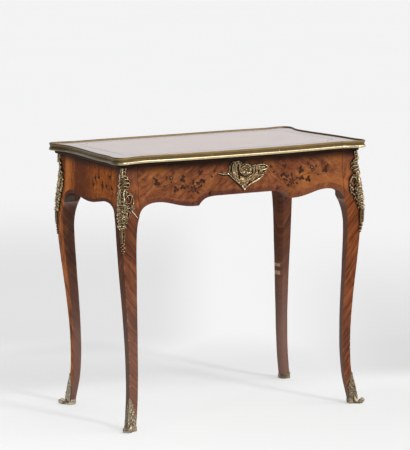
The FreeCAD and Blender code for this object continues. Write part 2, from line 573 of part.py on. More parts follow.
chutes, sabots = {}, {}
chute_pins, sabot_pins = [], []
for nm, qx, qy in (("front_left", -1, -1), ("front_right", 1, -1), ("back_left", -1, 1), ("back_right", 1, 1)):
    leg = legs["leg_" + nm]
    c = loft([ell(z, wf, ws, t, qx, qy) for z, wf, ws, t in CHUTE])
    c = one(c.cut(raw_leg(qx, qy)))
    # one pin through each flange
    pins = []
    for z, on_front in ((606.0, True), (640.0, False)):
        o = arris(z)
        if on_front:
            p = Part.makeCylinder(1.0, 18.0, V(qx * (HALF_W - o - 13.0), qy * (HALF_D - o - 10.0), z), V(0, qy, 0))
        else:
            p = Part.makeCylinder(1.0, 17.6, V(qx * (HALF_W - o - 10.0), qy * (HALF_D - o - 10.0), z), V(qx, 0, 0))
        pins.append(p)
    sab = loft([ell(z, w, w, t, qx, qy) for z, w, t in SABOT])
    o = arris(0)
    r2 = 1 / math.sqrt(2)

    def diag(along, across, z):
        """A point measured out from the arris along the leg's diagonal, and across it."""
        u = o - along * r2 + across * r2
        v = o - along * r2 - across * r2
        return (qx * (HALF_W - u), qy * (HALF_D - v), z)
    rings = []
    for z, t in COLLAR:
        eo, ei = arris(z) - t, inner(z) + t * 0.8
        c8 = 0.32 * (ei - eo)
        ring = [(eo, eo), (ei, eo), (ei, ei - c8), (ei - c8 * 0.42, ei - c8 * 0.42), (ei - c8, ei), (eo, ei)]
        rings.append([(qx * (HALF_W - u), qy * (HALF_D - v), z) for u, v in ring])
    collar = loft(rings)
    # scrolled toe: a roll lying across the diagonal, and the tongue that carries it
    c0, c1 = V(*diag(TOE_OUT, -9.5, TOE_R)), V(*diag(TOE_OUT, 9.5, TOE_R))
    roll = Part.makeCylinder(TOE_R, 19.0, c0, c1.sub(c0))
    tongue = loft([[diag(-8, -14, z), diag(2, -12.5, z), diag(TOE_OUT, -8.5, z), diag(TOE_OUT, 8.5, z), diag(2, 12.5, z), diag(-8, 14, z)]
                   for z in (0.0, 3.0, 6.0)])
    tongue_top = prism([diag(-3, -8.5, 6.0), diag(TOE_OUT - 2, -8.5, 6.0), diag(TOE_OUT - 2, -8.5, 9.0), diag(-3, -8.5, 22.0)],
                       tuple(V(*diag(0, 17.0, 0)).sub(V(*diag(0, 0, 0)))))
    toe = one(tongue.fuse(roll).fuse(tongue_top))
    sab = one(sab.fuse(collar).fuse(toe).cut(raw_leg(qx, qy)).removeSplitter())
    spins = []
    o2 = arris(24.0)
    spins.append(Part.makeCylinder(0.9, 12.0, V(qx * (HALF_W - o2 - 13.0), qy * (HALF_D - o2 - 8.0), 24.0), V(0, qy, 0)))
    spins.append(Part.makeCylinder(0.9, 12.0, V(qx * (HALF_W - o2 - 8.0), qy * (HALF_D - o2 - 13.0), 21.0), V(qx, 0, 0)))
    for p in pins:
        c = one(c.cut(p))
        leg = one(leg.cut(p))
    for p in spins:
        sab = one(sab.cut(p))
        leg = one(leg.cut(p))
    chute_pins += pins
    sabot_pins += spins
    legs["leg_" + nm] = leg
    chutes["chute_" + nm] = c
    sabots["sabot_" + nm] = sab

# keyhole cartouche: an asymmetrical shell-and-scroll plate over the drawer front
CART = [(-77, 677), (-66, 680.5), (-52, 679.5), (-44, 684), (-40, 694), (-33, 703), (-22, 707), (-8, 706.5), (6, 704.5),
        (22, 701), (38, 703.5), (56, 706), (72, 707), (80, 702), (77, 692), (66, 684), (54, 674), (44, 664), (36, 652),
        (24, 641), (12, 631), (2, 624.5), (-6, 628), (-12, 637), (-20, 645), (-30, 652), (-38, 661), (-48, 669), (-62, 672)]
cart_wire = Part.BSplineCurve()
cart_wire.interpolate([V(x, -221.5, z) for x, z in CART], True)
cart = Part.Face(Part.Wire([cart_wire.toShape()])).extrude(V(0, 20.0, 0))
cart = one(cart.cut(long_surface(-1).extrude(V(0, 60.0, 0))))
cart = one(cart.cut(key_path))
cart_pins = []
for px, pz in ((-58.0, 676.0), (62.0, 696.0), (4.0, 634.0)):
    p = Part.makeCylinder(0.9, 15.0, V(px, -222.2, pz), V(0, 1, 0))
    cart_pins.append(p)
    cart = one(cart.cut(p))
    drawer_front = one(drawer_front.cut(p))

# ------------------------------------------------------------------ write the pieces
for n in sorted(rim):
    save(rim[n], n)
save(Part.makeCompound(rim_pins), "rim_pins")
save(top_board, "top_board")
save(top_field, "top_veneer_field")
save(top_band, "top_crossbanding")
for n, s in legs.items():
    save(s, n)
for n, s in side_aprons.items():
    save(s, n)
save(back_apron, "back_apron")
save(rail, "front_top_rail")
save(strike, "lock_strike_plate")
save(drawer_front, "drawer_front")
for n, s in drawer_sides.items():
    save(s, n)
save(drawer_back, "drawer_back")
save(drawer_bottom, "drawer_bottom")
save(case, "lock_case")
save(lock_cover, "lock_cover")
save(bolt, "lock_bolt")
save(spring_lock, "lock_spring")
save(Part.makeCompound(lock_screws), "lock_screws")
for side in ("left", "right"):
    save(runners[side], "drawer_runner_" + side)
    save(guides[side], "drawer_guide_" + side)
    save(kickers[side], "drawer_kicker_" + side)
save(Part.makeCompound(stops), "drawer_stops")
save(Part.makeCompound(glue_blocks), "glue_blocks")
save(Part.makeCompound(top_screws), "top_screws")
for n, s in chutes.items():
    save(s, n)
save(Part.makeCompound(chute_pins), "chute_pins")
for n, s in sabots.items():
    save(s, n)
save(Part.makeCompound(sabot_pins), "sabot_pins")
save(cart, "keyhole_cartouche")
save(Part.makeCompound(cart_pins), "cartouche_pins")
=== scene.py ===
import math

import bpy
import numpy as np
from mathutils import Matrix, Vector
from mathutils.bvhtree import BVHTree


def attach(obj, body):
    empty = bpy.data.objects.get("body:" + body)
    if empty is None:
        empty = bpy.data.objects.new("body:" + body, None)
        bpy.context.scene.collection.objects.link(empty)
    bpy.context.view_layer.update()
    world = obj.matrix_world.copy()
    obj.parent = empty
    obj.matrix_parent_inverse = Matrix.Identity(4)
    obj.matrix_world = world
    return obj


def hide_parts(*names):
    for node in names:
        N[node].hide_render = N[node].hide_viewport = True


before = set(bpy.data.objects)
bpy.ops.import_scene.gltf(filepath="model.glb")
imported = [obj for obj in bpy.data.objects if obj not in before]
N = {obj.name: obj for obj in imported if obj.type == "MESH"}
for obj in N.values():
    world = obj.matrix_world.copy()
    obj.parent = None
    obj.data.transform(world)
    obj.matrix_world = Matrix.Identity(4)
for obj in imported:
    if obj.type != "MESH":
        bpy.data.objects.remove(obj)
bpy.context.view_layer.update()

# Small serpentine writing table with cabriole legs.  Tables below are in millimetres, in the row frame.
MM = 0.001
HALF_W, HALF_D, HEIGHT = 383.0, 236.0, 740.0
RIM_BOTTOM, TOP_FACE = 720.5, 737.0
JX, JY = HALF_W - 70.7, HALF_D - 70.7
KEY_X, KEY_Z = -14.0, 672.0
TOE_R, TOE_OUT = 7.6, 12.6

ARRIS = [(0, 29.0), (12, 30.0), (25, 31.6), (50, 35.2), (75, 38.8), (100, 41.0), (126, 42.1), (150, 42.4), (180, 42.2), (205, 41.7),
         (230, 40.6), (255, 39.2), (280, 37.5), (305, 35.8), (330, 33.8), (355, 31.6), (380, 29.3), (405, 27.1), (430, 25.0), (455, 23.1),
         (480, 21.5), (500, 20.3), (525, 19.4), (550, 19.3), (575, 20.2), (600, 22.2), (625, 25.0), (650, 27.3), (680, 28.3), (711, 28.5)]
INNER = [(0, 51.5), (12, 53.0), (25, 55.0), (50, 59.2), (75, 62.8), (100, 65.0), (126, 66.4), (150, 67.4), (180, 67.7)]
FRONT_EDGE = [(312.3, 580.0), (308.2, 590.5), (303.0, 597.6), (296.0, 603.2), (287.0, 607.6), (276.0, 610.8), (264.0, 612.4),
              (252.0, 612.5), (240.0, 611.3), (227.0, 608.9), (214.0, 605.5), (201.0, 602.1), (189.0, 599.3), (177.0, 597.1),
              (165.0, 595.7), (153.0, 595.1), (144.0, 595.0), (136.5, 595.6)]
FRONT_STEP = [(136.5, 595.6), (133.4, 599.4), (129.4, 603.6), (124.4, 608.0), (118.0, 612.0), (110.0, 615.0), (98.0, 617.2),
              (80.0, 618.2)]
SIDE_EDGE = [(165.3, 580.0), (162.0, 588.6), (157.4, 595.0), (150.0, 600.6), (140.0, 605.0), (127.0, 608.2), (113.0, 609.7),
             (100.0, 609.9), (88.0, 609.0), (75.0, 607.4), (62.0, 605.4), (49.0, 603.2), (36.0, 601.2), (23.0, 599.8), (10.0, 599.0),
             (0.0, 598.8)]


def catmull(tab):
    """Dense smooth version of a profile table, as arrays for np.interp."""
    n = len(tab)
    zs = np.arange(tab[0][0], tab[-1][0] + 0.25, 0.5)
    out = []
    for z in zs:
        i = 0
        while i < n - 2 and tab[i + 1][0] < z:
            i += 1
        z0, a = tab[i]
        z1, b = tab[i + 1]
        h = z1 - z0
        ma = (b - tab[i - 1][1]) / (z1 - tab[i - 1][0]) if i > 0 else (b - a) / h
        mb = (tab[i + 2][1] - a) / (tab[i + 2][0] - z0) if i + 2 < n else (b - a) / h
        t = (z - z0) / h
        out.append((2 * t ** 3 - 3 * t ** 2 + 1) * a + (t ** 3 - 2 * t ** 2 + t) * h * ma
                   + (-2 * t ** 3 + 3 * t ** 2) * b + (t ** 3 - t ** 2) * h * mb)
    return zs, np.array(out)


_AZ, _AV = catmull(ARRIS)
_IZ, _IV = catmull(INNER)


def arris(z):
    return np.interp(z, _AZ, _AV)


def inner(z):
    return np.interp(z, _IZ, _IV)


def front_y(x, z):
    """Distance of the swelling front (or back) face from the middle plane."""
    t = np.minimum(1.0, np.abs(x) / JX)
    return HALF_D - arris(z) + 4.0 * (1 - t * t) ** 2


def side_x(y, z):
    t = np.minimum(1.0, np.abs(y) / JY)
    w = 0.3 + 0.7 * t * t * (3 - 2 * t)
    return HALF_W - 28.5 + (28.5 - arris(z)) * w + 3.0 * (1 - t * t) ** 2


# ------------------------------------------------------------------ node materials
def srgb(r, g, b):
    def f(c):
        c = c / 255.0
        return c / 12.92 if c <= 0.04045 else ((c + 0.055) / 1.055) ** 2.4
    return (f(r), f(g), f(b), 1.0)


class Mat:
    """A node material, with short calls that make one node each and return its output."""

    def __init__(self, name):
        self.m = bpy.data.materials.new(name)
        self.m.use_nodes = True
        self.t = self.m.node_tree
        self.t.nodes.clear()
        self.out = self.t.nodes.new("ShaderNodeOutputMaterial")
        self.p = self.t.nodes.new("ShaderNodeBsdfPrincipled")
        self.t.links.new(self.p.outputs[0], self.out.inputs["Surface"])

    def put(self, sock, val):
        if isinstance(val, bpy.types.NodeSocket):
            self.t.links.new(val, sock)
        elif val is not None:
            sock.default_value = val

    def set(self, **kw):
        for k, v in kw.items():
            self.put(self.p.inputs[k.replace("_", " ")], v)

    def math(self, op, a, b=None, c=None, clamp=False):
        n = self.t.nodes.new("ShaderNodeMath")
        n.operation = op
        n.use_clamp = clamp
        for i, v in enumerate((a, b, c)):
            self.put(n.inputs[i], v)
        return n.outputs[0]

    def add(self, a, b): return self.math("ADD", a, b)
    def sub(self, a, b): return self.math("SUBTRACT", a, b)
    def mul(self, a, b): return self.math("MULTIPLY", a, b)
    def abs(self, a): return self.math("ABSOLUTE", a)

    def band(self, v, lo, hi, out0=0.0, out1=1.0):
        """Smooth step of v between lo and hi."""
        n = self.t.nodes.new("ShaderNodeMapRange")
        n.interpolation_type = "SMOOTHSTEP"
        self.put(n.inputs["Value"], v)
        a, b = (lo, hi) if lo < hi else (hi, lo)
        if lo > hi:
            out0, out1 = out1, out0
        n.inputs["From Min"].default_value = a
        n.inputs["From Max"].default_value = b
        n.inputs["To Min"].default_value = out0
        n.inputs["To Max"].default_value = out1
        return n.outputs["Result"]

    def xyz(self, x, y, z):
        n = self.t.nodes.new("ShaderNodeCombineXYZ")
        for i, v in enumerate((x, y, z)):
            self.put(n.inputs[i], v)
        return n.outputs[0]

    def split(self, v):
        n = self.t.nodes.new("ShaderNodeSeparateXYZ")
        self.put(n.inputs[0], v)
        return n.outputs[0], n.outputs[1], n.outputs[2]

    def obj(self):
        return self.t.nodes.new("ShaderNodeTexCoord").outputs["Object"]

    def normal(self):
        return self.t.nodes.new("ShaderNodeNewGeometry").outputs["Normal"]

    def attr(self, name):
        n = self.t.nodes.new("ShaderNodeAttribute")
        n.attribute_name = name
        return n.outputs["Fac"]

    def attr_vec(self, name):
        n = self.t.nodes.new("ShaderNodeAttribute")
        n.attribute_name = name
        return n.outputs["Vector"]

    def noise(self, v, scale, detail=4.0, rough=0.55, dist=0.0):
        n = self.t.nodes.new("ShaderNodeTexNoise")
        self.put(n.inputs["Vector"], v)
        n.inputs["Scale"].default_value = scale
        n.inputs["Detail"].default_value = detail
        n.inputs["Roughness"].default_value = rough
        n.inputs["Distortion"].default_value = dist
        return n.outputs["Fac"]

    def cells(self, v, scale, feature="F1", randomness=1.0):
        n = self.t.nodes.new("ShaderNodeTexVoronoi")
        n.feature = feature
        self.put(n.inputs["Vector"], v)
        n.inputs["Scale"].default_value = scale
        n.inputs["Randomness"].default_value = randomness
        return n.outputs["Distance"]

    def ramp(self, fac, stops, mode="LINEAR"):
        n = self.t.nodes.new("ShaderNodeValToRGB")
        self.put(n.inputs[0], fac)
        cr = n.color_ramp
        cr.interpolation = mode
        while len(cr.elements) < len(stops):
            cr.elements.new(0.5)
        for e, (pos, col) in zip(cr.elements, stops):
            e.position = pos
            e.color = col
        return n.outputs["Color"]

    def mix(self, fac, a, b, mode="MIX"):
        n = self.t.nodes.new("ShaderNodeMix")
        n.data_type = "RGBA"
        n.blend_type = mode
        self.put(n.inputs[0], fac)
        self.put(n.inputs[6], a)
        self.put(n.inputs[7], b)
        return n.outputs[2]

    def bump(self, height, strength, distance=0.001):
        n = self.t.nodes.new("ShaderNodeBump")
        n.inputs["Strength"].default_value = strength
        n.inputs["Distance"].default_value = distance
        self.put(n.inputs["Height"], height)
        self.put(self.p.inputs["Normal"], n.outputs[0])


def pores(k, along, across, seed):
    """Fine open pores of the wood, long along the grain."""
    v = k.xyz(k.mul(along, 55.0), k.mul(across, 1500.0), seed)
    return k.noise(v, 1.0, 2.0, 0.5)


def make_leg_veneer():
    """Striped veneer laid on the slant, meeting in a chevron at the arris of each leg."""
    k = Mat("leg_veneer")
    x, y, z = k.split(k.obj())
    nx, ny, nz = k.split(k.normal())
    u = k.sub(HALF_W * MM, k.abs(x))
    v = k.sub(HALF_D * MM, k.abs(y))
    d = k.add(u, v)
    q = k.add(z, k.mul(d, 1.2))
    along = k.sub(k.mul(z, 0.64), k.mul(d, 0.77))
    sx, sy = k.math("SIGN", x), k.math("SIGN", y)
    seed = k.add(k.mul(sx, 3.7), k.mul(sy, 9.1))
    # soft bands of heartwood, broken up by clouds
    wob = k.noise(k.xyz(k.mul(q, 20.0), k.mul(along, 14.0), seed), 1.0, 3.0, 0.5)
    q2 = k.add(q, k.mul(k.sub(wob, 0.5), 0.034))
    s1 = k.noise(k.xyz(k.mul(q2, 100.0), k.mul(along, 6.0), seed), 1.0, 3.0, 0.6)
    s2 = k.noise(k.xyz(k.mul(q2, 400.0), k.mul(along, 10.0), k.add(seed, 4.0)), 1.0, 3.0, 0.6)
    blot = k.noise(k.xyz(k.mul(x, 26.0), k.mul(y, 26.0), k.mul(z, 13.0)), 1.0, 4.0, 0.6, 0.8)
    f = k.add(k.mul(s1, 0.52), k.add(k.mul(s2, 0.24), k.mul(blot, 0.28)))
    col = k.ramp(f, [(0.37, srgb(56, 29, 20)), (0.45, srgb(84, 46, 31)), (0.52, srgb(110, 63, 42)), (0.60, srgb(134, 79, 51)),
                     (0.72, srgb(166, 104, 67))])
    # the right front leg is of a warmer sheet
    warm = k.ramp(f, [(0.38, srgb(60, 28, 14)), (0.47, srgb(94, 47, 24)), (0.56, srgb(126, 68, 36)), (0.72, srgb(164, 97, 54))])
    col = k.mix(k.mul(k.band(x, 0.0, 0.01), k.band(y, 0.0, -0.01)), col, warm)
    # outside of the back left leg: bright orange with dark flames
    g = k.add(k.mul(blot, 0.62), k.mul(s1, 0.42))
    flame = k.ramp(g, [(0.40, srgb(84, 43, 24)), (0.48, srgb(132, 74, 40)), (0.57, srgb(178, 102, 52)), (0.74, srgb(202, 128, 70))])
    back_left = k.mul(k.band(x, 0.0, -0.01), k.band(y, 0.0, 0.01))
    turned = k.math("MAXIMUM", k.band(nx, -0.15, -0.45), k.mul(k.band(u, 0.040, 0.030), k.band(z, 0.40, 0.46)))
    col = k.mix(k.mul(back_left, turned), col, flame)
    # left face of the near leg: painted shade, a darker colour
    near_left = k.mul(k.mul(k.band(x, 0.0, -0.01), k.band(y, 0.0, -0.01)), k.band(nx, -0.45, -0.75))
    col = k.mix(k.mul(near_left, 0.40), col, srgb(62, 36, 26))
    # painted reflection of the bright floor: paler and greyer low on the same face
    col = k.mix(k.mul(near_left, k.band(z, 0.42, 0.12, 0.0, 0.34)), col, srgb(118, 104, 98))
    # dark under its mount
    near_leg = k.mul(k.band(x, 0.0, -0.01), k.band(y, 0.0, -0.01))
    col = k.mix(k.mul(near_leg, k.mul(k.band(z, 0.44, 0.50, 0.0, 0.42), k.band(z, 0.60, 0.57))), col, srgb(60, 35, 26))
    fine = pores(k, along, q, seed)
    col = k.mix(k.band(fine, 0.60, 0.78, 0.0, 0.30), col, srgb(52, 28, 19))
    # the stiles beside the drawer: reddish veneer with an orange light piece towards the apron
    head = k.band(z, 0.575, 0.612)
    n3 = k.noise(k.xyz(k.mul(x, 60.0), k.mul(y, 60.0), k.mul(z, 35.0)), 1.0, 4.0, 0.6, 0.6)
    stile = k.ramp(n3, [(0.32, srgb(86, 48, 34)), (0.5, srgb(118, 70, 48)), (0.68, srgb(144, 88, 58))])
    col = k.mix(k.mul(k.mul(head, 0.8), k.sub(1.0, back_left)), col, stile)
    patch = k.mul(k.band(u, 0.044, 0.058), k.mul(k.band(z, 0.596, 0.626), k.band(z, 0.688, 0.640)))
    col = k.mix(k.mul(patch, k.band(n3, 0.30, 0.66, 0.0, 0.75)), col, srgb(176, 104, 52))
    # painted shadow under the overhanging top
    col = k.mix(k.band(z, 0.684, 0.709, 0.0, 0.86), col, srgb(34, 20, 15))
    # painted reflection of the bright floor: paler and greyer towards the floor, most on the near leg and on the inner
    # faces
    out_n = k.add(k.mul(nx, sx), k.mul(ny, sy))
    inside = k.band(out_n, 0.10, -0.35)
    pale = k.add(0.30, k.mul(k.math("MAXIMUM", near_leg, inside), 0.70))
    col = k.mix(k.mul(k.band(z, 0.50, 0.18, 0.0, 0.36), pale), col, srgb(122, 98, 89))
    # faces turned to the inside: painted shade, darker, with a painted reflection of the floor, grey lower down and
    # under the curve at the top
    dull = k.mix(0.45, col, srgb(82, 51, 38))
    dull = k.mix(k.band(z, 0.46, 0.14, 0.0, 0.40), dull, srgb(134, 106, 98))
    dull = k.mix(k.mul(k.mul(k.band(x, 0.0, 0.01), k.band(y, 0.0, -0.01)), 0.34), dull, srgb(118, 100, 92))
    dull = k.mix(k.mul(back_left, k.band(z, 0.36, 0.48, 0.10, 0.45)), dull, srgb(70, 55, 49))
    # right back leg: darker higher up, a painted pale reflection of the floor low on its left faces, and two pale
    # patches let into it
    let_in = k.mul(k.band(x, 0.0, 0.01), k.band(y, 0.0, 0.01))
    dull = k.mix(k.mul(let_in, k.band(z, 0.30, 0.38, 0.0, 0.22)), dull, srgb(58, 38, 31))
    dull = k.mix(k.mul(k.mul(let_in, k.band(z, 0.26, 0.12, 0.0, 0.38)), k.band(nx, -0.30, -0.70, 0.40, 1.0)), dull, srgb(152, 120, 106))
    stripe = k.math("MAXIMUM", k.mul(k.band(z, 0.3355, 0.3375), k.band(z, 0.3465, 0.3445)), k.mul(k.band(z, 0.3115, 0.3135), k.band(z, 0.3245, 0.3225)))
    dull = k.mix(k.mul(k.mul(let_in, stripe), k.mul(k.band(nx, -0.55, -0.80), k.band(wob, 0.30, 0.52, 0.40, 0.90))), dull, srgb(186, 146, 122))
    dull = k.mix(k.mul(k.band(nz, -0.10, -0.55), k.mul(k.band(z, 0.55, 0.585), 0.75)), dull, srgb(168, 150, 142))
    col = k.mix(inside, col, dull)
    # worn arris with pale knocks, more of them low down
    edge = k.abs(k.sub(u, v))
    wn = k.noise(k.xyz(k.mul(z, 95.0), 0.0, seed), 1.0, 4.0, 0.7)
    wear = k.mul(k.mul(k.band(edge, 0.0034, 0.0012), k.band(wn, 0.52, 0.62)), k.band(out_n, 0.2, 0.5))
    wear = k.mul(wear, k.mul(k.band(z, 0.36, 0.22, 0.25, 1.0), k.band(z, 0.47, 0.44)))
    col = k.mix(k.mul(wear, 0.70), col, srgb(200, 154, 124))
    k.set(Base_Color=col)
    rn = k.noise(k.xyz(k.mul(x, 40.0), k.mul(y, 40.0), k.mul(z, 25.0)), 1.0, 4.0, 0.6)
    k.set(Roughness=k.add(0.30, k.mul(rn, 0.22)))
    k.set(Specular_IOR_Level=0.0, Coat_Weight=0.13, Coat_Roughness=0.13, Coat_IOR=1.5)
    k.bump(k.add(k.mul(fine, 0.5), k.mul(s1, 0.6)), 0.25, 0.0004)
    return k.m


def make_apron_veneer():
    """Warm mottled veneer on the aprons and the drawer front, secondary wood on their inside."""
    k = Mat("apron_veneer")
    x, y, z = k.split(k.obj())
    nx, ny, nz = k.split(k.normal())
    sx, sy = k.math("SIGN", x), k.math("SIGN", y)
    t = k.add(x, k.mul(y, 1.35))
    # slanting figure: long streaks at a low angle, clouded
    ax = k.abs(x)
    g = k.add(k.mul(z, 0.80), k.mul(ax, 0.60))
    ga = k.sub(k.mul(ax, 0.80), k.mul(z, 0.60))
    warp = k.noise(k.xyz(k.mul(t, 14.0), k.mul(z, 22.0), 3.0), 1.0, 3.0, 0.55)
    g2 = k.add(g, k.mul(k.sub(warp, 0.5), 0.030))
    s1 = k.noise(k.xyz(k.mul(ga, 14.0), k.mul(g2, 70.0), k.mul(k.math("SIGN", x), 2.0)), 1.0, 4.0, 0.6)
    s2 = k.noise(k.xyz(k.mul(ga, 36.0), k.mul(g2, 430.0), 5.0), 1.0, 3.0, 0.6)
    mott = k.noise(k.xyz(k.mul(t, 46.0), k.mul(z, 58.0), 9.0), 1.0, 5.0, 0.58, 0.9)
    f = k.add(k.mul(s1, 0.42), k.add(k.mul(s2, 0.28), k.mul(mott, 0.32)))
    col = k.ramp(f, [(0.37, srgb(72, 37, 23)), (0.46, srgb(104, 58, 36)), (0.54, srgb(131, 78, 47)), (0.62, srgb(154, 97, 57)),
                     (0.76, srgb(184, 128, 76))])
    big = k.noise(k.xyz(k.mul(t, 9.0), k.mul(z, 12.0), 2.0), 1.0, 2.0, 0.5)
    col = k.mix(k.band(big, 0.50, 0.72, 0.0, 0.42), col, srgb(110, 54, 34))
    col = k.mix(k.band(big, 0.47, 0.28, 0.0, 0.55), col, srgb(172, 104, 48))
    # the front is lightest towards the lower right
    col = k.mix(k.mul(k.band(x, 0.10, 0.26, 0.0, 0.40), k.mul(k.band(y, 0.0, -0.01), k.band(z, 0.672, 0.630))), col, srgb(176, 110, 58))
    # side veneer: saturated orange, streaked upright, dark in the middle and bright towards the back
    is_side = k.mul(k.band(k.abs(x), 0.3305, 0.3320), k.band(k.abs(y), 0.1760, 0.1745))
    up = k.noise(k.xyz(k.mul(y, 150.0), k.mul(z, 16.0), 4.0), 1.0, 4.0, 0.6, 0.5)
    h = k.add(k.mul(up, 0.50), k.add(k.mul(mott, 0.34), k.mul(s2, 0.20)))
    side = k.ramp(h, [(0.37, srgb(90, 41, 14)), (0.47, srgb(137, 70, 24)), (0.55, srgb(170, 91, 33)), (0.69, srgb(202, 120, 49))])
    ye = k.add(y, k.mul(k.sub(warp, 0.5), 0.05))
    dark = k.mul(k.band(ye, -0.015, 0.030), k.band(ye, 0.120, 0.085))
    side = k.mix(k.mul(dark, 0.78), side, srgb(88, 39, 13))
    side = k.mix(k.band(ye, 0.118, 0.150, 0.0, 0.55), side, srgb(226, 136, 66))
    side = k.mix(k.mul(k.mul(k.band(ye, 0.016, -0.008), k.band(ye, -0.030, -0.006)), 0.45), side, srgb(92, 44, 20))
    col = k.mix(is_side, col, side)
    fine = pores(k, ga, g, 2.0)
    col = k.mix(k.band(fine, 0.60, 0.80, 0.0, 0.28), col, srgb(66, 34, 20))
    # painted shadow under the overhanging top
    col = k.mix(k.band(z, 0.684, 0.709, 0.0, 0.88), col, srgb(34, 20, 15))
    # inside: plain oak, gone grey-brown
    out_n = k.add(k.mul(nx, sx), k.mul(ny, sy))
    og = k.noise(k.xyz(k.mul(x, 6.0), k.mul(y, 6.0), k.mul(z, 160.0)), 1.0, 5.0, 0.6)
    oak = k.ramp(og, [(0.3, srgb(60, 51, 45)), (0.55, srgb(84, 73, 66)), (0.75, srgb(104, 92, 83))])
    col = k.mix(k.band(out_n, 0.10, -0.10), col, oak)
    # painted shade on the faces turned downwards along the lower edge
    edge = k.mul(k.band(nz, -0.55, -0.85), 0.85)
    col = k.mix(edge, col, srgb(58, 32, 24))
    k.set(Base_Color=col)
    rn = k.noise(k.xyz(k.mul(t, 45.0), k.mul(z, 45.0), 0.0), 1.0, 4.0, 0.6)
    k.set(Roughness=k.add(0.30, k.mul(rn, 0.22)))
    k.set(Specular_IOR_Level=0.0, Coat_Weight=0.13, Coat_Roughness=0.13, Coat_IOR=1.5)
    k.bump(k.add(k.mul(fine, 0.5), k.mul(s1, 0.5)), 0.22, 0.0004)
    return k.m


def make_carcase_oak():
    """Oak of the runners and blocks, grey-brown and dark: dust, and painted shade under the top."""
    k = Mat("oak_carcase")
    x, y, z = k.split(k.obj())
    a = k.noise(k.xyz(k.mul(x, 130.0), k.mul(y, 5.0), k.mul(z, 130.0)), 1.0, 5.0, 0.6)
    dirt = k.noise(k.xyz(k.mul(x, 9.0), k.mul(y, 9.0), k.mul(z, 9.0)), 1.0, 4.0, 0.6)
    col = k.ramp(a, [(0.3, srgb(60, 47, 37)), (0.5, srgb(86, 69, 54)), (0.72, srgb(108, 89, 70))])
    col = k.mix(k.band(dirt, 0.45, 0.75, 0.0, 0.5), col, srgb(58, 46, 38))
    k.set(Base_Color=col, Roughness=k.add(0.62, k.mul(dirt, 0.3)))
    k.bump(a, 0.25, 0.0004)
    return k.m


def make_band_veneer():
    """Crossbanding: dark reddish wood whose grain runs across the band, fading into the sheet above it."""
    k = Mat("band_veneer")
    a, b, c = k.split(k.attr_vec("run"))
    al = k.add(a, k.mul(b, 0.6))
    s1 = k.noise(k.xyz(k.mul(al, 260.0), k.mul(b, 30.0), 2.0), 1.0, 4.0, 0.62)
    s2 = k.noise(k.xyz(k.mul(a, 34.0), k.mul(b, 12.0), 7.0), 1.0, 3.0, 0.5)
    f = k.add(k.mul(s1, 0.58), k.mul(s2, 0.46))
    col = k.ramp(f, [(0.38, srgb(56, 31, 26)), (0.5, srgb(79, 45, 37)), (0.60, srgb(98, 58, 47)), (0.76, srgb(124, 78, 62))])
    sheet = k.ramp(f, [(0.38, srgb(98, 55, 36)), (0.55, srgb(128, 76, 48)), (0.76, srgb(154, 98, 60))])
    fade = k.band(k.add(b, k.mul(k.sub(s2, 0.5), 0.016)), 0.0085, 0.0165)
    keep = k.mul(k.sub(1.0, fade), k.mul(c, k.band(s2, 0.30, 0.55, 0.70, 1.0)))
    col = k.mix(keep, sheet, col)
    fine = pores(k, b, a, 1.0)
    col = k.mix(k.band(fine, 0.6, 0.8, 0.0, 0.30), col, srgb(46, 24, 17))
    k.set(Base_Color=col, Roughness=k.add(0.28, k.mul(s2, 0.2)))
    k.set(Specular_IOR_Level=0.0, Coat_Weight=0.13, Coat_Roughness=0.13, Coat_IOR=1.5)
    k.bump(s1, 0.2, 0.0003)
    return k.m


def make_inlay(name, lo, mid, hi, seed):
    """A small piece of marquetry wood, with fine grain and shaded edges."""
    k = Mat(name)
    x, y, z = k.split(k.obj())
    t = k.add(x, k.mul(y, 1.3))
    n = k.noise(k.xyz(k.mul(k.add(t, z), 420.0), k.mul(k.sub(t, z), 60.0), seed), 1.0, 4.0, 0.6)
    m = k.noise(k.xyz(k.mul(t, 130.0), k.mul(z, 130.0), seed + 3.0), 1.0, 3.0, 0.5)
    col = k.ramp(k.add(k.mul(n, 0.55), k.mul(m, 0.45)), [(0.36, lo), (0.5, mid), (0.66, hi)])
    k.set(Base_Color=col, Roughness=k.add(0.30, k.mul(m, 0.2)))
    k.set(Specular_IOR_Level=0.0, Coat_Weight=0.12, Coat_Roughness=0.14, Coat_IOR=1.5)
    k.bump(n, 0.15, 0.0002)
    return k.m


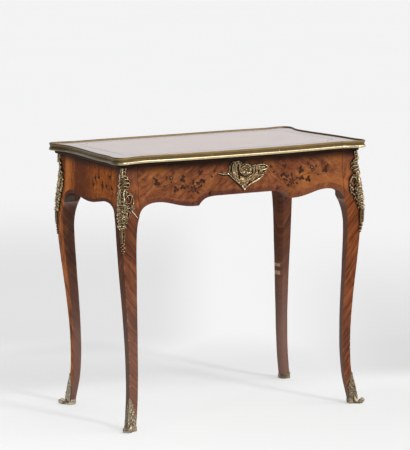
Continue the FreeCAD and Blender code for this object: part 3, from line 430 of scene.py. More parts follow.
def make_top_field():
    """Polished top: four sheets of figured veneer matched about the middle, under a high gloss."""
    k = Mat("top_field")
    x, y, z = k.split(k.obj())
    ax, ay = k.abs(x), k.abs(y)
    g = k.add(k.mul(ax, 0.62), k.mul(ay, 0.78))
    h = k.sub(k.mul(ax, 0.78), k.mul(ay, 0.62))
    warp = k.noise(k.xyz(k.mul(ax, 9.0), k.mul(ay, 9.0), 1.0), 1.0, 3.0, 0.5)
    g2 = k.add(g, k.mul(k.sub(warp, 0.5), 0.05))
    s1 = k.noise(k.xyz(k.mul(g2, 60.0), k.mul(h, 3.0), 2.0), 1.0, 5.0, 0.62)
    s2 = k.noise(k.xyz(k.mul(g2, 300.0), k.mul(h, 9.0), 5.0), 1.0, 3.0, 0.6)
    f = k.add(k.mul(s1, 0.75), k.mul(s2, 0.30))
    col = k.ramp(f, [(0.30, srgb(92, 46, 27)), (0.45, srgb(130, 72, 42)), (0.56, srgb(158, 96, 58)), (0.70, srgb(182, 122, 78)),
                     (0.85, srgb(198, 146, 100))])
    fine = pores(k, h, g, 3.0)
    col = k.mix(k.band(fine, 0.6, 0.8, 0.0, 0.3), col, srgb(70, 36, 22))
    # fine joints between the four sheets
    seam = k.math("MINIMUM", ax, ay)
    col = k.mix(k.band(seam, 0.0007, 0.0002, 0.0, 0.6), col, srgb(58, 30, 20))
    k.set(Base_Color=col)
    sm = k.noise(k.xyz(k.mul(x, 7.0), k.mul(y, 7.0), 0.0), 1.0, 4.0, 0.6)
    k.set(Roughness=k.add(0.14, k.mul(sm, 0.12)))
    k.set(Coat_Weight=0.9, Coat_Roughness=0.06, Coat_IOR=1.62)
    k.bump(k.add(k.mul(fine, 0.35), k.mul(sm, 1.2)), 0.08, 0.0004)
    return k.m


def make_top_band():
    """Crossbanded border of the top: the grain runs straight out to the rim."""
    k = Mat("top_band")
    x, y, z = k.split(k.obj())
    ax, ay = k.abs(x), k.abs(y)
    # which edge a point belongs to: long sides or short sides, mitred at the corners
    end = k.band(k.sub(k.sub(ax, 0.321), k.sub(ay, 0.176)), -0.0008, 0.0008)
    across_l = k.noise(k.xyz(k.mul(x, 190.0), k.mul(y, 12.0), 1.0), 1.0, 4.0, 0.6)
    across_s = k.noise(k.xyz(k.mul(y, 190.0), k.mul(x, 12.0), 6.0), 1.0, 4.0, 0.6)
    f = k.add(k.mul(across_l, k.sub(1.0, end)), k.mul(across_s, end))
    m = k.noise(k.xyz(k.mul(x, 22.0), k.mul(y, 22.0), 3.0), 1.0, 3.0, 0.5)
    f = k.add(k.mul(f, 0.7), k.mul(m, 0.32))
    col = k.ramp(f, [(0.34, srgb(74, 34, 22)), (0.48, srgb(112, 56, 34)), (0.6, srgb(140, 78, 46)), (0.76, srgb(168, 104, 64))])
    k.set(Base_Color=col)
    sm = k.noise(k.xyz(k.mul(x, 7.0), k.mul(y, 7.0), 0.0), 1.0, 4.0, 0.6)
    k.set(Roughness=k.add(0.14, k.mul(sm, 0.12)))
    k.set(Coat_Weight=0.9, Coat_Roughness=0.06, Coat_IOR=1.62)
    k.bump(k.add(k.mul(f, 0.3), k.mul(sm, 1.2)), 0.08, 0.0004)
    return k.m


def make_dark_edge():
    k = Mat("dark_edge")
    x, y, z = k.split(k.obj())
    n = k.noise(k.xyz(k.mul(x, 30.0), k.mul(y, 30.0), k.mul(z, 420.0)), 1.0, 4.0, 0.6)
    m = k.noise(k.xyz(k.mul(x, 18.0), k.mul(y, 18.0), 0.0), 1.0, 3.0, 0.5)
    col = k.ramp(k.add(k.mul(n, 0.5), k.mul(m, 0.5)), [(0.35, srgb(24, 14, 9)), (0.52, srgb(40, 24, 15)), (0.7, srgb(64, 40, 26))])
    k.set(Base_Color=col, Roughness=k.add(0.40, k.mul(m, 0.25)))
    k.set(Specular_IOR_Level=0.08, Coat_Weight=0.0)
    k.bump(n, 0.2, 0.0003)
    return k.m


def make_oak():
    """Secondary oak of the drawer and the carcase, quarter sawn, handled and dusty."""
    k = Mat("oak_inside")
    x, y, z = k.split(k.obj())
    along = k.add(y, k.mul(x, 0.08))
    a = k.noise(k.xyz(k.mul(x, 130.0), k.mul(along, 5.0), k.mul(z, 130.0)), 1.0, 5.0, 0.6)
    fleck = k.noise(k.xyz(k.mul(x, 50.0), k.mul(y, 190.0), k.mul(z, 50.0)), 1.0, 2.0, 0.5)
    col = k.ramp(a, [(0.3, srgb(104, 74, 46)), (0.5, srgb(146, 110, 71)), (0.72, srgb(172, 138, 96))])
    col = k.mix(k.band(fleck, 0.63, 0.72, 0.0, 0.45), col, srgb(188, 156, 112))
    dirt = k.noise(k.xyz(k.mul(x, 9.0), k.mul(y, 9.0), k.mul(z, 9.0)), 1.0, 4.0, 0.6)
    col = k.mix(k.band(dirt, 0.5, 0.75, 0.0, 0.45), col, srgb(84, 60, 40))
    k.set(Base_Color=col, Roughness=k.add(0.55, k.mul(dirt, 0.3)))
    k.bump(k.add(a, k.mul(fleck, 0.4)), 0.25, 0.0004)
    return k.m


def make_rim_brass():
    """Brass rim: a bright rubbed roll below, a hollow and a lip gone olive brown above it."""
    k = Mat("rim_brass_aged")
    x, y, z = k.split(k.obj())
    nx, ny, nz = k.split(k.normal())
    n1 = k.noise(k.xyz(k.mul(x, 26.0), k.mul(y, 26.0), k.mul(z, 160.0)), 1.0, 5.0, 0.65)
    n2 = k.noise(k.xyz(k.mul(x, 150.0), k.mul(y, 150.0), k.mul(z, 300.0)), 1.0, 4.0, 0.6)
    spots = k.cells(k.xyz(x, y, z), 210.0)
    upper = k.band(z, 0.7264, 0.7277)
    tarn = k.mul(upper, k.band(n1, 0.20, 0.55, 0.80, 1.0))
    bright = k.ramp(n2, [(0.35, srgb(184, 163, 123)), (0.6, srgb(212, 196, 161))])
    olive = k.ramp(n1, [(0.3, srgb(88, 70, 42)), (0.52, srgb(118, 97, 60)), (0.75, srgb(150, 126, 82))])
    col = k.mix(tarn, bright, olive)
    # faces turned to the left are darker olive all over
    left = k.band(nx, -0.55, -0.85)
    col = k.mix(k.mul(left, k.band(n1, 0.25, 0.6, 0.90, 0.68)), col, srgb(86, 68, 42))
    col = k.mix(k.mul(k.band(spots, 0.16, 0.08), k.band(n1, 0.45, 0.6, 0.1, 0.8)), col, srgb(64, 48, 28))
    # rubbed line along the top of the hollow, dirt in the quirk, painted shade under the roll
    # the side turned to the top is brown
    inward = k.band(k.add(k.mul(nx, k.math("SIGN", x)), k.mul(ny, k.math("SIGN", y))), -0.10, -0.45)
    col = k.mix(k.mul(inward, 0.76), col, srgb(94, 83, 66))
    tone_lines = k.mul(k.band(z, 0.7352, 0.7360), k.band(z, 0.7376, 0.7366))
    col = k.mix(k.mul(tone_lines, 0.40), col, srgb(206, 180, 128))
    quirk = k.mul(k.band(z, 0.7268, 0.7277), k.band(z, 0.7296, 0.7286))
    col = k.mix(k.mul(quirk, 0.82), col, srgb(46, 34, 18))
    # painted shade on the faces turned downwards under the roll
    col = k.mix(k.band(nz, -0.5, -0.9, 0.0, 0.7), col, srgb(80, 62, 34))
    k.set(Base_Color=col, Metallic=k.sub(1.0, k.mul(quirk, 0.4)))
    k.set(Roughness=k.add(k.add(0.24, k.mul(tarn, 0.14)), k.mul(n2, 0.14)))
    k.bump(k.add(k.mul(n2, 0.6), n1), 0.12, 0.0004)
    return k.m


def make_gilt_bronze():
    """Chased gilt bronze: pale gold on what is rubbed, brown-black dirt in the hollows."""
    k = Mat("gilt_bronze_chased")
    x, y, z = k.split(k.obj())
    cav = k.attr("cav")
    n1 = k.noise(k.xyz(x, y, z), 95.0, 5.0, 0.65)
    n2 = k.noise(k.xyz(x, y, z), 520.0, 4.0, 0.6)
    f = k.add(cav, k.mul(k.sub(n1, 0.5), 0.30))
    col = k.ramp(f, [(0.10, srgb(30, 21, 14)), (0.28, srgb(74, 55, 37)), (0.46, srgb(130, 105, 74)), (0.62, srgb(178, 153, 114)),
                     (0.84, srgb(242, 226, 192))])
    dull = k.ramp(f, [(0.10, srgb(36, 29, 22)), (0.28, srgb(76, 63, 50)), (0.46, srgb(126, 111, 92)), (0.62, srgb(170, 156, 134)),
                      (0.84, srgb(232, 222, 202))])
    col = k.mix(k.band(z, 0.16, 0.09), col, dull)
    col = k.mix(k.band(n1, 0.56, 0.76, 0.0, 0.34), col, srgb(104, 82, 52))
    k.set(Base_Color=col)
    k.set(Metallic=k.band(f, 0.10, 0.36, 0.25, 1.0))
    k.set(Roughness=k.add(k.band(f, 0.2, 0.8, 0.52, 0.25), k.mul(k.sub(n2, 0.5), 0.22)))
    k.bump(k.add(k.mul(n2, 0.7), k.mul(n1, 0.4)), 0.16, 0.0004)
    return k.m


def make_pin_brass():
    k = Mat("pin_brass_worn")
    x, y, z = k.split(k.obj())
    n = k.noise(k.xyz(x, y, z), 400.0, 4.0, 0.6)
    col = k.ramp(n, [(0.35, srgb(120, 96, 52)), (0.55, srgb(176, 146, 88)), (0.75, srgb(210, 182, 122))])
    k.set(Base_Color=col, Metallic=1.0, Roughness=k.add(0.25, k.mul(n, 0.25)))
    k.bump(n, 0.15, 0.0002)
    return k.m


def make_iron():
    k = Mat("lock_iron_old")
    x, y, z = k.split(k.obj())
    n = k.noise(k.xyz(x, y, z), 120.0, 5.0, 0.65)
    r = k.noise(k.xyz(x, y, z), 46.0, 5.0, 0.7)
    col = k.ramp(n, [(0.35, srgb(52, 50, 48)), (0.55, srgb(92, 90, 88)), (0.75, srgb(132, 130, 126))])
    rust = k.band(r, 0.52, 0.66)
    col = k.mix(k.mul(rust, 0.8), col, srgb(92, 54, 32))
    k.set(Base_Color=col, Metallic=k.sub(1.0, k.mul(rust, 0.7)), Roughness=k.add(0.34, k.mul(rust, 0.35)))
    k.bump(k.add(n, r), 0.3, 0.0003)
    return k.m


def make_floor():
    """Pale seamless floor that glows a little, as lit paper does; it is darker away to the left."""
    k = Mat("studio_floor")
    x, y, z = k.split(k.obj())
    across = k.sub(k.mul(x, 0.892), k.mul(y, 0.4526))
    depth = k.add(k.mul(x, 0.4526), k.mul(y, 0.892))
    deep = k.math("MAXIMUM", depth, 0.0)
    lit = k.band(k.add(across, k.mul(deep, 0.085)), -2.6, -0.75)
    n = k.noise(k.xyz(k.mul(x, 0.9), k.mul(y, 0.9), 0.0), 1.0, 3.0, 0.5)
    tone = k.add(k.mul(lit, FLOOR_GLOW - FLOOR_DIM), FLOOR_DIM)
    # the paper is in half shade behind the table, more so to either side of it
    far = k.mul(k.band(depth, 0.50, 1.10), k.band(depth, 4.6, 2.2))
    left = k.mul(k.mul(far, k.band(across, 0.05, -0.22)), 0.33)
    right = k.mul(k.band(across, 0.12, 0.62), k.mul(k.band(depth, 0.22, 0.50), k.band(depth, 3.6, 0.5, 0.0, 0.43)))
    near = k.mul(k.mul(k.band(depth, 0.18, 0.50), k.band(depth, 1.15, 0.62)), k.band(across, -0.20, 0.0, 0.09, 0.18))
    shade = k.math("MAXIMUM", k.math("MAXIMUM", left, right), near)
    tone = k.mul(tone, k.sub(1.0, shade))
    # painted light on the floor in front of the table to the left, painted shade to the right
    front = k.mul(k.band(depth, 0.34, 0.06), k.band(depth, -1.6, -0.6))
    tone = k.add(tone, k.mul(front, k.mul(k.band(across, 0.45, -0.15), 0.066)))
    tone = k.sub(tone, k.mul(front, k.mul(k.band(across, 0.30, 0.55), k.band(depth, -0.5, 0.0, 0.012, 0.055))))
    col = k.ramp(n, [(0.3, srgb(239, 239.4, 239.8)), (0.7, srgb(240, 240, 240))])
    k.set(Base_Color=k.mix(FLOOR_DIFFUSE, (0.0, 0.0, 0.0, 1.0), col), Roughness=0.9)
    k.set(Specular_IOR_Level=0.0)
    k.set(Emission_Color=col, Emission_Strength=tone)
    return k.m


FLOOR_GLOW, FLOOR_DIM, FLOOR_DIFFUSE = 0.505, 0.32, 0.44

LEG = make_leg_veneer()
APRON = make_apron_veneer()
BAND = make_band_veneer()
TOPF = make_top_field()
TOPB = make_top_band()
EDGE = make_dark_edge()
OAK = make_oak()
OAK_DARK = make_carcase_oak()
RIM = make_rim_brass()
BRONZE = make_gilt_bronze()
PIN = make_pin_brass()
IRON = make_iron()
INK = make_inlay("inlay_dark", srgb(44, 25, 17), srgb(62, 38, 26), srgb(90, 58, 41), 1.0)
STEM = make_inlay("inlay_stem", srgb(60, 34, 23), srgb(80, 48, 33), srgb(102, 66, 46), 15.0)
PALE = make_inlay("inlay_pale", srgb(156, 110, 70), srgb(188, 142, 98), srgb(214, 174, 128), 7.0)
GREY = make_inlay("inlay_grey", srgb(98, 78, 62), srgb(126, 104, 84), srgb(152, 130, 108), 11.0)


def paint(material, *names):
    for n in names:
        o = N[n]
        if not o.material_slots:
            o.data.materials.append(material)
        for s in o.material_slots:
            s.material = material


CORNERS = (("front_left", -1, -1), ("front_right", 1, -1), ("back_left", -1, 1), ("back_right", 1, 1))
for c, _, _ in CORNERS:
    paint(LEG, "leg_" + c)
    paint(BRONZE, "chute_" + c, "sabot_" + c)
    paint(RIM, "rim_corner_" + c)
for e in ("front", "back", "left", "right"):
    paint(RIM, "rim_" + e)
paint(APRON, "side_apron_left", "side_apron_right", "back_apron", "drawer_front")
paint(OAK, "front_top_rail", "drawer_side_left", "drawer_side_right", "drawer_back", "drawer_bottom")
paint(OAK_DARK, "drawer_runner_left", "drawer_runner_right", "drawer_guide_left", "drawer_guide_right", "drawer_kicker_left",
      "drawer_kicker_right", "drawer_stops", "glue_blocks")
paint(EDGE, "top_board")
paint(TOPF, "top_veneer_field")
paint(TOPB, "top_crossbanding")
paint(PIN, "rim_pins", "chute_pins", "sabot_pins", "cartouche_pins")
paint(IRON, "lock_case", "lock_cover", "lock_bolt", "lock_spring", "lock_screws", "lock_strike_plate", "top_screws")
paint(BRONZE, "keyhole_cartouche")


# ------------------------------------------------------------------ meshes
def mesh_object(name, verts, faces, material, body, smooth=True, attrs=None, vec_attrs=None):
    me = bpy.data.meshes.new(name)
    me.from_pydata(np.asarray(verts, dtype=float).tolist(), [], [list(f) for f in faces])
    me.update()
    if smooth:
        me.polygons.foreach_set("use_smooth", np.ones(len(me.polygons), dtype=bool))
    for k, v in (attrs or {}).items():
        a = me.attributes.new(k, "FLOAT", "POINT")
        a.data.foreach_set("value", np.asarray(v, dtype=np.float32))
    for k, v in (vec_attrs or {}).items():
        a = me.attributes.new(k, "FLOAT_VECTOR", "POINT")
        a.data.foreach_set("vector", np.asarray(v, dtype=np.float32).ravel())
    me.materials.append(material)
    o = bpy.data.objects.new(name, me)
    bpy.context.scene.collection.objects.link(o)
    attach(o, body)
    return o


def spl(pts, n=60):
    """Smooth curve through points, evenly sampled."""
    p = np.asarray(pts, dtype=float)
    if len(p) == 2:
        t = np.linspace(0, 1, n)[:, None]
        return p[0] * (1 - t) + p[1] * t
    q = np.vstack([2 * p[0] - p[1], p, 2 * p[-1] - p[-2]])
    out = []
    m = 24
    for i in range(1, len(q) - 2):
        t = np.linspace(0, 1, m, endpoint=False)[:, None]
        a, b, c, d = q[i - 1], q[i], q[i + 1], q[i + 2]
        out.append(0.5 * (2 * b + (c - a) * t + (2 * a - 5 * b + 4 * c - d) * t ** 2 + (3 * b - a - 3 * c + d) * t ** 3))
    out.append(p[-1:])
    c = np.vstack(out)
    s = np.concatenate([[0], np.cumsum(np.linalg.norm(np.diff(c, axis=0), axis=1))])
    r = np.linspace(0, s[-1], n)
    return np.stack([np.interp(r, s, c[:, k]) for k in range(c.shape[1])], axis=1)


def blur(h, n):
    for _ in range(n):
        p = np.pad(h, 1, mode="edge")
        h = (p[:-2, 1:-1] + p[2:, 1:-1] + p[1:-1, :-2] + p[1:-1, 2:] + 2 * p[1:-1, 1:-1]) / 6.0
    return h


def along_values(v, tau):
    v = np.atleast_1d(np.asarray(v, dtype=float))
    return np.interp(tau, np.linspace(0, 1, len(v)), v)


def ring_pts(c, r, a0=0.0, a1=360.0, n=13, ry=None):
    t = np.radians(np.linspace(a0, a1, n))
    return np.stack([c[0] + r * np.cos(t), c[1] + (ry or r) * np.sin(t)], 1)


def within(p, a, b):
    """Whether a point lies inside an outline."""
    odd = False
    for i in range(len(p)):
        q, r = p[i], p[(i + 1) % len(p)]
        if (q[1] > b) != (r[1] > b) and a < (r[0] - q[0]) * (b - q[1]) / (r[1] - q[1] + 1e-12) + q[0]:
            odd = not odd
    return odd


class Relief:
    """Cast and chased relief as a height over a plane of (a, b) millimetres."""

    def __init__(self, a0, a1, b0, b1, step):
        self.a = np.arange(a0, a1 + step * 0.5, step)
        self.b = np.arange(b0, b1 + step * 0.5, step)
        self.A, self.B = np.meshgrid(self.a, self.b)
        self.H = np.full(self.A.shape, -1.0)
        self.S = np.zeros(self.A.shape)
        self.step = step

    def window(self, lo, hi):
        i0, i1 = np.searchsorted(self.a, (lo[0], hi[0]))
        j0, j1 = np.searchsorted(self.b, (lo[1], hi[1]))
        return (slice(max(0, j0 - 1), j1 + 1), slice(max(0, i0 - 1), i1 + 1))

    def put(self, w, h, soft=0.0):
        h = np.maximum(h, -1.0)
        if soft > 0:
            a, b = self.H[w], h
            m = np.maximum(a, b)
            self.H[w] = m + np.maximum(0, soft - np.abs(a - b)) ** 2 / (4 * soft)
        else:
            self.H[w] = np.maximum(self.H[w], h)

    def near(self, c, A, B):
        """Distance to a curve, place along it (0 to 1) and side."""
        best = np.full(A.shape, 1e9)
        tau = np.zeros(A.shape)
        side = np.zeros(A.shape)
        n = len(c)
        for i in range(n - 1):
            p, q = c[i], c[i + 1]
            d = q - p
            l2 = d @ d + 1e-12
            t = np.clip(((A - p[0]) * d[0] + (B - p[1]) * d[1]) / l2, 0, 1)
            dx, dy = A - p[0] - t * d[0], B - p[1] - t * d[1]
            r = dx * dx + dy * dy
            m = r < best
            best = np.where(m, r, best)
            tau = np.where(m, (i + t) / (n - 1), tau)
            side = np.where(m, np.sign(d[0] * dy - d[1] * dx), side)
        return np.sqrt(best), tau, side

    def stroke(self, pts, w, h, prof="round", base=0.0, n=60, soft=0.0, beads=0):
        c = spl(pts, n)
        wm = float(np.max(w)) + 1.2
        win = self.window(c.min(0) - wm, c.max(0) + wm)
        A, B = self.A[win], self.B[win]
        d, tau, side = self.near(c, A, B)
        ww, hh = along_values(w, tau), along_values(h, tau)
        x = d / np.maximum(ww, 0.05)
        xi = np.clip(x, 0, 1)
        if prof == "round":
            f = np.sqrt(1 - xi ** 2)
        elif prof == "soft":
            f = 1 - xi ** 2
        elif prof == "ridge":
            f = (1 - xi) ** 0.75
        elif prof == "cove":
            f = np.where(xi < 0.7, 0.42 + 0.50 * (xi / 0.7) ** 2, 0.92 * np.sqrt(np.clip(1 - ((xi - 0.7) / 0.3) ** 2, 0, 1)))
        elif prof == "mould":
            f = np.where(xi < 0.42, 0.45 + 0.55 * np.sqrt(np.clip(1 - (xi / 0.42) ** 2, 0, 1)),
                         0.72 * np.sqrt(np.clip(1 - ((xi - 0.72) / 0.28) ** 2, 0, 1)))
        elif prof == "flute":
            f = np.sqrt(1 - xi ** 2) * (0.80 + 0.20 * np.cos(xi * side * math.pi * 3.0))
        else:
            f = np.sqrt(1 - xi ** 2)
        if beads:
            f = f * (0.50 + 0.50 * np.abs(np.sin(math.pi * beads * tau)))
        hgt = np.where(x < 1, base + hh * f, -(d - ww) * 1.6)
        self.put(win, hgt, soft)

    def leaf(self, base, tip, bend, w, h, lobes=5, veins=True, root=0.45, soft=0.0):
        p, q = np.asarray(base, float), np.asarray(tip, float)
        perp = np.array([-(q - p)[1], (q - p)[0]])
        perp /= np.linalg.norm(perp) + 1e-9
        mid = (p + q) / 2 + perp * bend
        c = spl([p, mid, q], 40)
        win = self.window(c.min(0) - w - 1.5, c.max(0) + w + 1.5)
        A, B = self.A[win], self.B[win]
        d, tau, side = self.near(c, A, B)
        body = np.sin(math.pi * np.clip(tau * (1 - root * 0.35) + root * 0.35 * (1 - tau) + 0.0, 0, 1)) ** 0.7
        taper = np.clip((1 - tau) * 2.4, 0, 1) ** 0.8
        scal = 0.70 + 0.30 * np.abs(np.sin(math.pi * lobes * tau + 0.6)) ** 0.6 if lobes else 1.0
        ww = w * np.clip(body, 0.12, 1) * taper * scal + 0.15
        x = d / ww
        xi = np.clip(x, 0, 1)
        cup = 0.62 * np.sqrt(1 - xi ** 2) + 0.26 * np.exp(-(xi / 0.13) ** 2) + 0.12 * xi
        if veins and lobes:
            cup = cup * (0.86 + 0.14 * np.cos(2 * math.pi * (lobes * tau - 0.55 * xi)))
        hh = h * (0.55 + 0.45 * np.sin(math.pi * np.clip(tau * 0.85 + 0.08, 0, 1)))
        self.put(win, np.where(x < 1, hh * cup, -(d - ww) * 1.6), soft)

    def boss(self, c, r, h, flat=1.0, soft=0.0):
        win = self.window((c[0] - r - 1, c[1] - r - 1), (c[0] + r + 1, c[1] + r + 1))
        d = np.hypot(self.A[win] - c[0], self.B[win] - c[1])
        xi = np.clip(d / r, 0, 1)
        self.put(win, np.where(d < r, h * np.sqrt(1 - xi ** 2) ** flat, -(d - r) * 1.6), soft)

    def ring(self, c, r, w, h, soft=0.0):
        t = np.linspace(0, 2 * math.pi, 25)
        self.stroke(np.stack([c[0] + r * np.cos(t), c[1] + r * np.sin(t)], 1), w, h, "round", n=50, soft=soft)

    def volute(self, c, r0, r1, a0, turns, w, h, prof="round", eye=0.0, eye_h=0.0):
        t = np.linspace(0, 1, 46)
        r = r0 * (r1 / r0) ** t
        a = math.radians(a0) + 2 * math.pi * turns * t
        self.stroke(np.stack([c[0] + r * np.cos(a), c[1] + r * np.sin(a)], 1), w, h, prof, n=80)
        if eye:
            self.boss(c, eye, eye_h)

    def plate(self, pts, h, dome=0.0):
        """Filled outline of even height."""
        p = np.asarray(pts, float)
        win = self.window(p.min(0) - 1.5, p.max(0) + 1.5)
        A, B = self.A[win], self.B[win]
        inside = np.zeros(A.shape, bool)
        n = len(p)
        for i in range(n):
            a, b = p[i], p[(i + 1) % n]
            cross = ((a[1] > B) != (b[1] > B)) & (A < (b[0] - a[0]) * (B - a[1]) / (b[1] - a[1] + 1e-12) + a[0])
            inside ^= cross
        d, _, _ = self.near(np.vstack([p, p[:1]]), A, B)
        rise = np.minimum(1.0, d / 1.2)
        self.put(win, np.where(inside, h * (0.6 + 0.4 * rise) + dome * np.minimum(1, d / 8.0), -d * 1.6))

    def texture(self, pts, amount, kind, pitch, angle=45.0):
        """Adds a chased pattern to what already stands inside an outline."""
        p = np.asarray(pts, float)
        win = self.window(p.min(0), p.max(0))
        A, B = self.A[win], self.B[win]
        inside = np.zeros(A.shape, bool)
        n = len(p)
        for i in range(n):
            a, b = p[i], p[(i + 1) % n]
            inside ^= ((a[1] > B) != (b[1] > B)) & (A < (b[0] - a[0]) * (B - a[1]) / (b[1] - a[1] + 1e-12) + a[0])
        ca, sa = math.cos(math.radians(angle)), math.sin(math.radians(angle))
        u, v = (A * ca + B * sa) / pitch, (A * sa - B * ca) / pitch
        tri = lambda q: np.abs(((q + 0.5) % 1.0) - 0.5) * 2
        if kind == "trellis":
            line = np.maximum(1 - tri(u) * 2.6, 1 - tri(v) * 2.6)
            dot = 1 - np.hypot(tri(u + 0.5), tri(v + 0.5)) * 1.9
            f = np.clip(np.maximum(line, dot * 0.9), 0, 1) - 0.35
        elif kind == "matt":
            f = 0.5 * (np.sin(u * 6.28) * np.sin(v * 6.28))
        else:
            f = 0.5 - tri(u)
        self.H[win] += np.where(inside & (self.H[win] > 0.3), amount * f, 0.0)

    def rocaille(self, pts, seed, pitch, size, w, h):
        """Close-set small scrolls, rings, beads and leaves inside an outline, none quite like the next."""
        rng = np.random.default_rng(seed)
        p = np.asarray(pts, float)
        lo, hi = p.min(0), p.max(0)
        row, b = 0, lo[1] + pitch * 0.4
        while b < hi[1]:
            a = lo[0] + (pitch * 0.5 if row % 2 else 0.0)
            while a < hi[0]:
                c = np.array([a, b]) + rng.normal(0.0, pitch * 0.15, 2)
                kind, turn, sz, hh = rng.random(), rng.random() * 360.0, size * (0.75 + 0.5 * rng.random()), h * (0.78 + 0.4 * rng.random())
                if within(p, c[0], c[1]):
                    if kind < 0.52:
                        self.stroke(ring_pts(c, sz, turn, turn + 235, 7), [w * 1.3, w, w * 0.6], [hh, hh, hh * 0.8], n=14)
                    elif kind < 0.70:
                        self.stroke(ring_pts(c, sz * 0.85, 0, 360, 9), w * 0.9, hh * 0.95, n=16)
                    elif kind < 0.86:
                        self.boss(c, sz * 0.72, hh)
                    else:
                        d = np.array([math.cos(math.radians(turn)), math.sin(math.radians(turn))]) * sz * 1.2
                        self.leaf(c - d, c + d, sz * 0.2, sz * 0.75, hh, 3)
                a += pitch
            b += pitch * 0.86
            row += 1

    def worn(self, seed, amount):
        """Unevenness of a hand-chased, worn casting, at two sizes."""
        rng = np.random.default_rng(seed)
        for size, share in ((1.7, 1.0), (0.8, 0.6)):
            n = blur(rng.normal(0.0, 1.0, self.H.shape), int(3 * (size / self.step) ** 2))
            n /= n.std() + 1e-9
            self.H += np.where(self.H > 0.6, amount * share * np.clip(n, -2.0, 2.0), 0.0)
        self.H = np.where((self.H < 0.3) & (self.H > 0.0), 0.3, self.H)

    def height(self, a, b):
        i = (np.argmin(np.abs(self.b - b)), np.argmin(np.abs(self.a - a)))
        return float(self.H[i] + self.S[i])

    def swell(self, amount):
        """Lifts the middle of the casting off its ground, as a hollow shell with its edges on the wood."""
        inside = blur((self.H > 0.1).astype(float), int(3 * (2.6 / self.step) ** 2))
        self.S = amount * np.clip((inside - 0.45) / 0.40, 0, 1)

    def cut(self, c, ra, rb, angle=0.0, depth=-1.0):
        win = self.window((c[0] - max(ra, rb) - 2, c[1] - max(ra, rb) - 2), (c[0] + max(ra, rb) + 2, c[1] + max(ra, rb) + 2))
        A, B = self.A[win] - c[0], self.B[win] - c[1]
        ca, sa = math.cos(math.radians(angle)), math.sin(math.radians(angle))
        r = np.hypot((A * ca + B * sa) / ra, (-A * sa + B * ca) / rb)
        limit = depth + np.clip((r - 1) * min(ra, rb) * 3.0, 0, 50)
        self.H[win] = np.minimum(self.H[win], limit)

    def build(self, name, place, body, slot, material=None, top=None, deep=1.0, lift=0.0):
        h = blur(self.H, 1)
        if top is not None:
            h = np.minimum(h, top)
        h = np.clip(h, -0.5, None)
        pos = h > -0.45
        metal = (h > 0.1).astype(float)

        def around(rad):
            n = int(3 * (rad / self.step) ** 2)
            return blur(np.clip(h, 0, None) * metal, n) / np.maximum(blur(metal, n), 0.08)

        cav = 0.44 + lift + deep * (0.125 * (h - around(2.6)) + 0.21 * (h - around(0.8)) + 0.016 * (h - 4.0))
        cav = np.clip(cav, 0.0, 1.0)
        h = h + self.S
        cell = pos[:-1, :-1] | pos[1:, :-1] | pos[:-1, 1:] | pos[1:, 1:]
        need = np.zeros(h.shape, bool)
        need[:-1, :-1] |= cell
        need[1:, :-1] |= cell
        need[:-1, 1:] |= cell
        need[1:, 1:] |= cell
        idx = np.full(h.shape, -1, int)
        idx[need] = np.arange(need.sum())
        verts = place(self.A[need], self.B[need], h[need]) * MM
        j, i = np.nonzero(cell)
        quads = np.stack([idx[j, i], idx[j, i + 1], idx[j + 1, i + 1], idx[j + 1, i]], 1)
        out = place(self.A[need], self.B[need], h[need] + 1.0) * MM - verts
        a, b, c = verts[quads[:, 0]], verts[quads[:, 1]], verts[quads[:, 2]]
        if np.sum(np.cross(b - a, c - b) * out[quads[:, 0]]) < 0:
            quads = quads[:, ::-1]
        return mesh_object(name, verts, quads, material or BRONZE, body, attrs={"cav": cav[need]})


# ------------------------------------------------------------------ brass rim, swept with a smooth section
RIM_SECTION = [(-6.0, 0.0), (-3.4, 0.0), (-1.3, 0.0), (-0.2, 1.0), (0.0, 2.9), (-0.4, 5.1), (-1.6, 6.7), (-3.0, 7.5), (-3.4, 9.1),
               (-3.0, 11.3), (-2.2, 13.5), (-1.2, 15.3), (-1.0, 17.3), (-1.6, 18.8), (-3.0, 19.5), (-4.8, 19.3), (-6.0, 18.1)]


def smooth_section():
    s = np.array(RIM_SECTION)
    roll = spl(s[1:8], 26)              # the roll, up to the quirk
    rest = spl(s[7:], 36)               # hollow and lip
    c = np.vstack([s[:1], roll, rest[1:]])
    c[:, 0] = np.minimum(c[:, 0], 0.0)
    c[:, 1] = np.clip(c[:, 1], 0.0, 19.5)
    return c


# right half of the outline over the brass, from the middle of the front to the middle of the back
TOP_LINE = [(0, -236), (50, -235.7), (100, -234.6), (150, -232.4), (195, -229.2), (235, -225.2), (268, -221.8), (292, -220.2),
            (312, -221.4), (330, -226), (344, -231.2), (356, -234), (368, -231.8), (377, -223.5), (382, -211.5), (383, -200),
            (381.6, -187), (379.2, -174), (378, -160), (378, -140), (378, -115), (377.2, -85), (375.6, -55), (373.2, -25),
            (370.4, 5), (367.8, 35), (366, 65), (365, 95), (365.2, 120), (367.2, 143), (371.6, 163), (377, 180), (381.4, 194),
            (383, 206), (381.6, 217), (376.6, 227), (368, 233.5), (356, 235.96), (342, 234.6), (328, 231), (314, 227.4),
            (300, 225.6), (284, 225.8), (262, 227.6), (230, 229.4), (180, 230.2), (120, 229.2), (60, 227.8), (0, 227.2)]
SEAM_FRONT, SEAM_SIDE_FRONT, SEAM_SIDE_BACK, SEAM_BACK = 305.0, -178.0, 138.0, 292.0


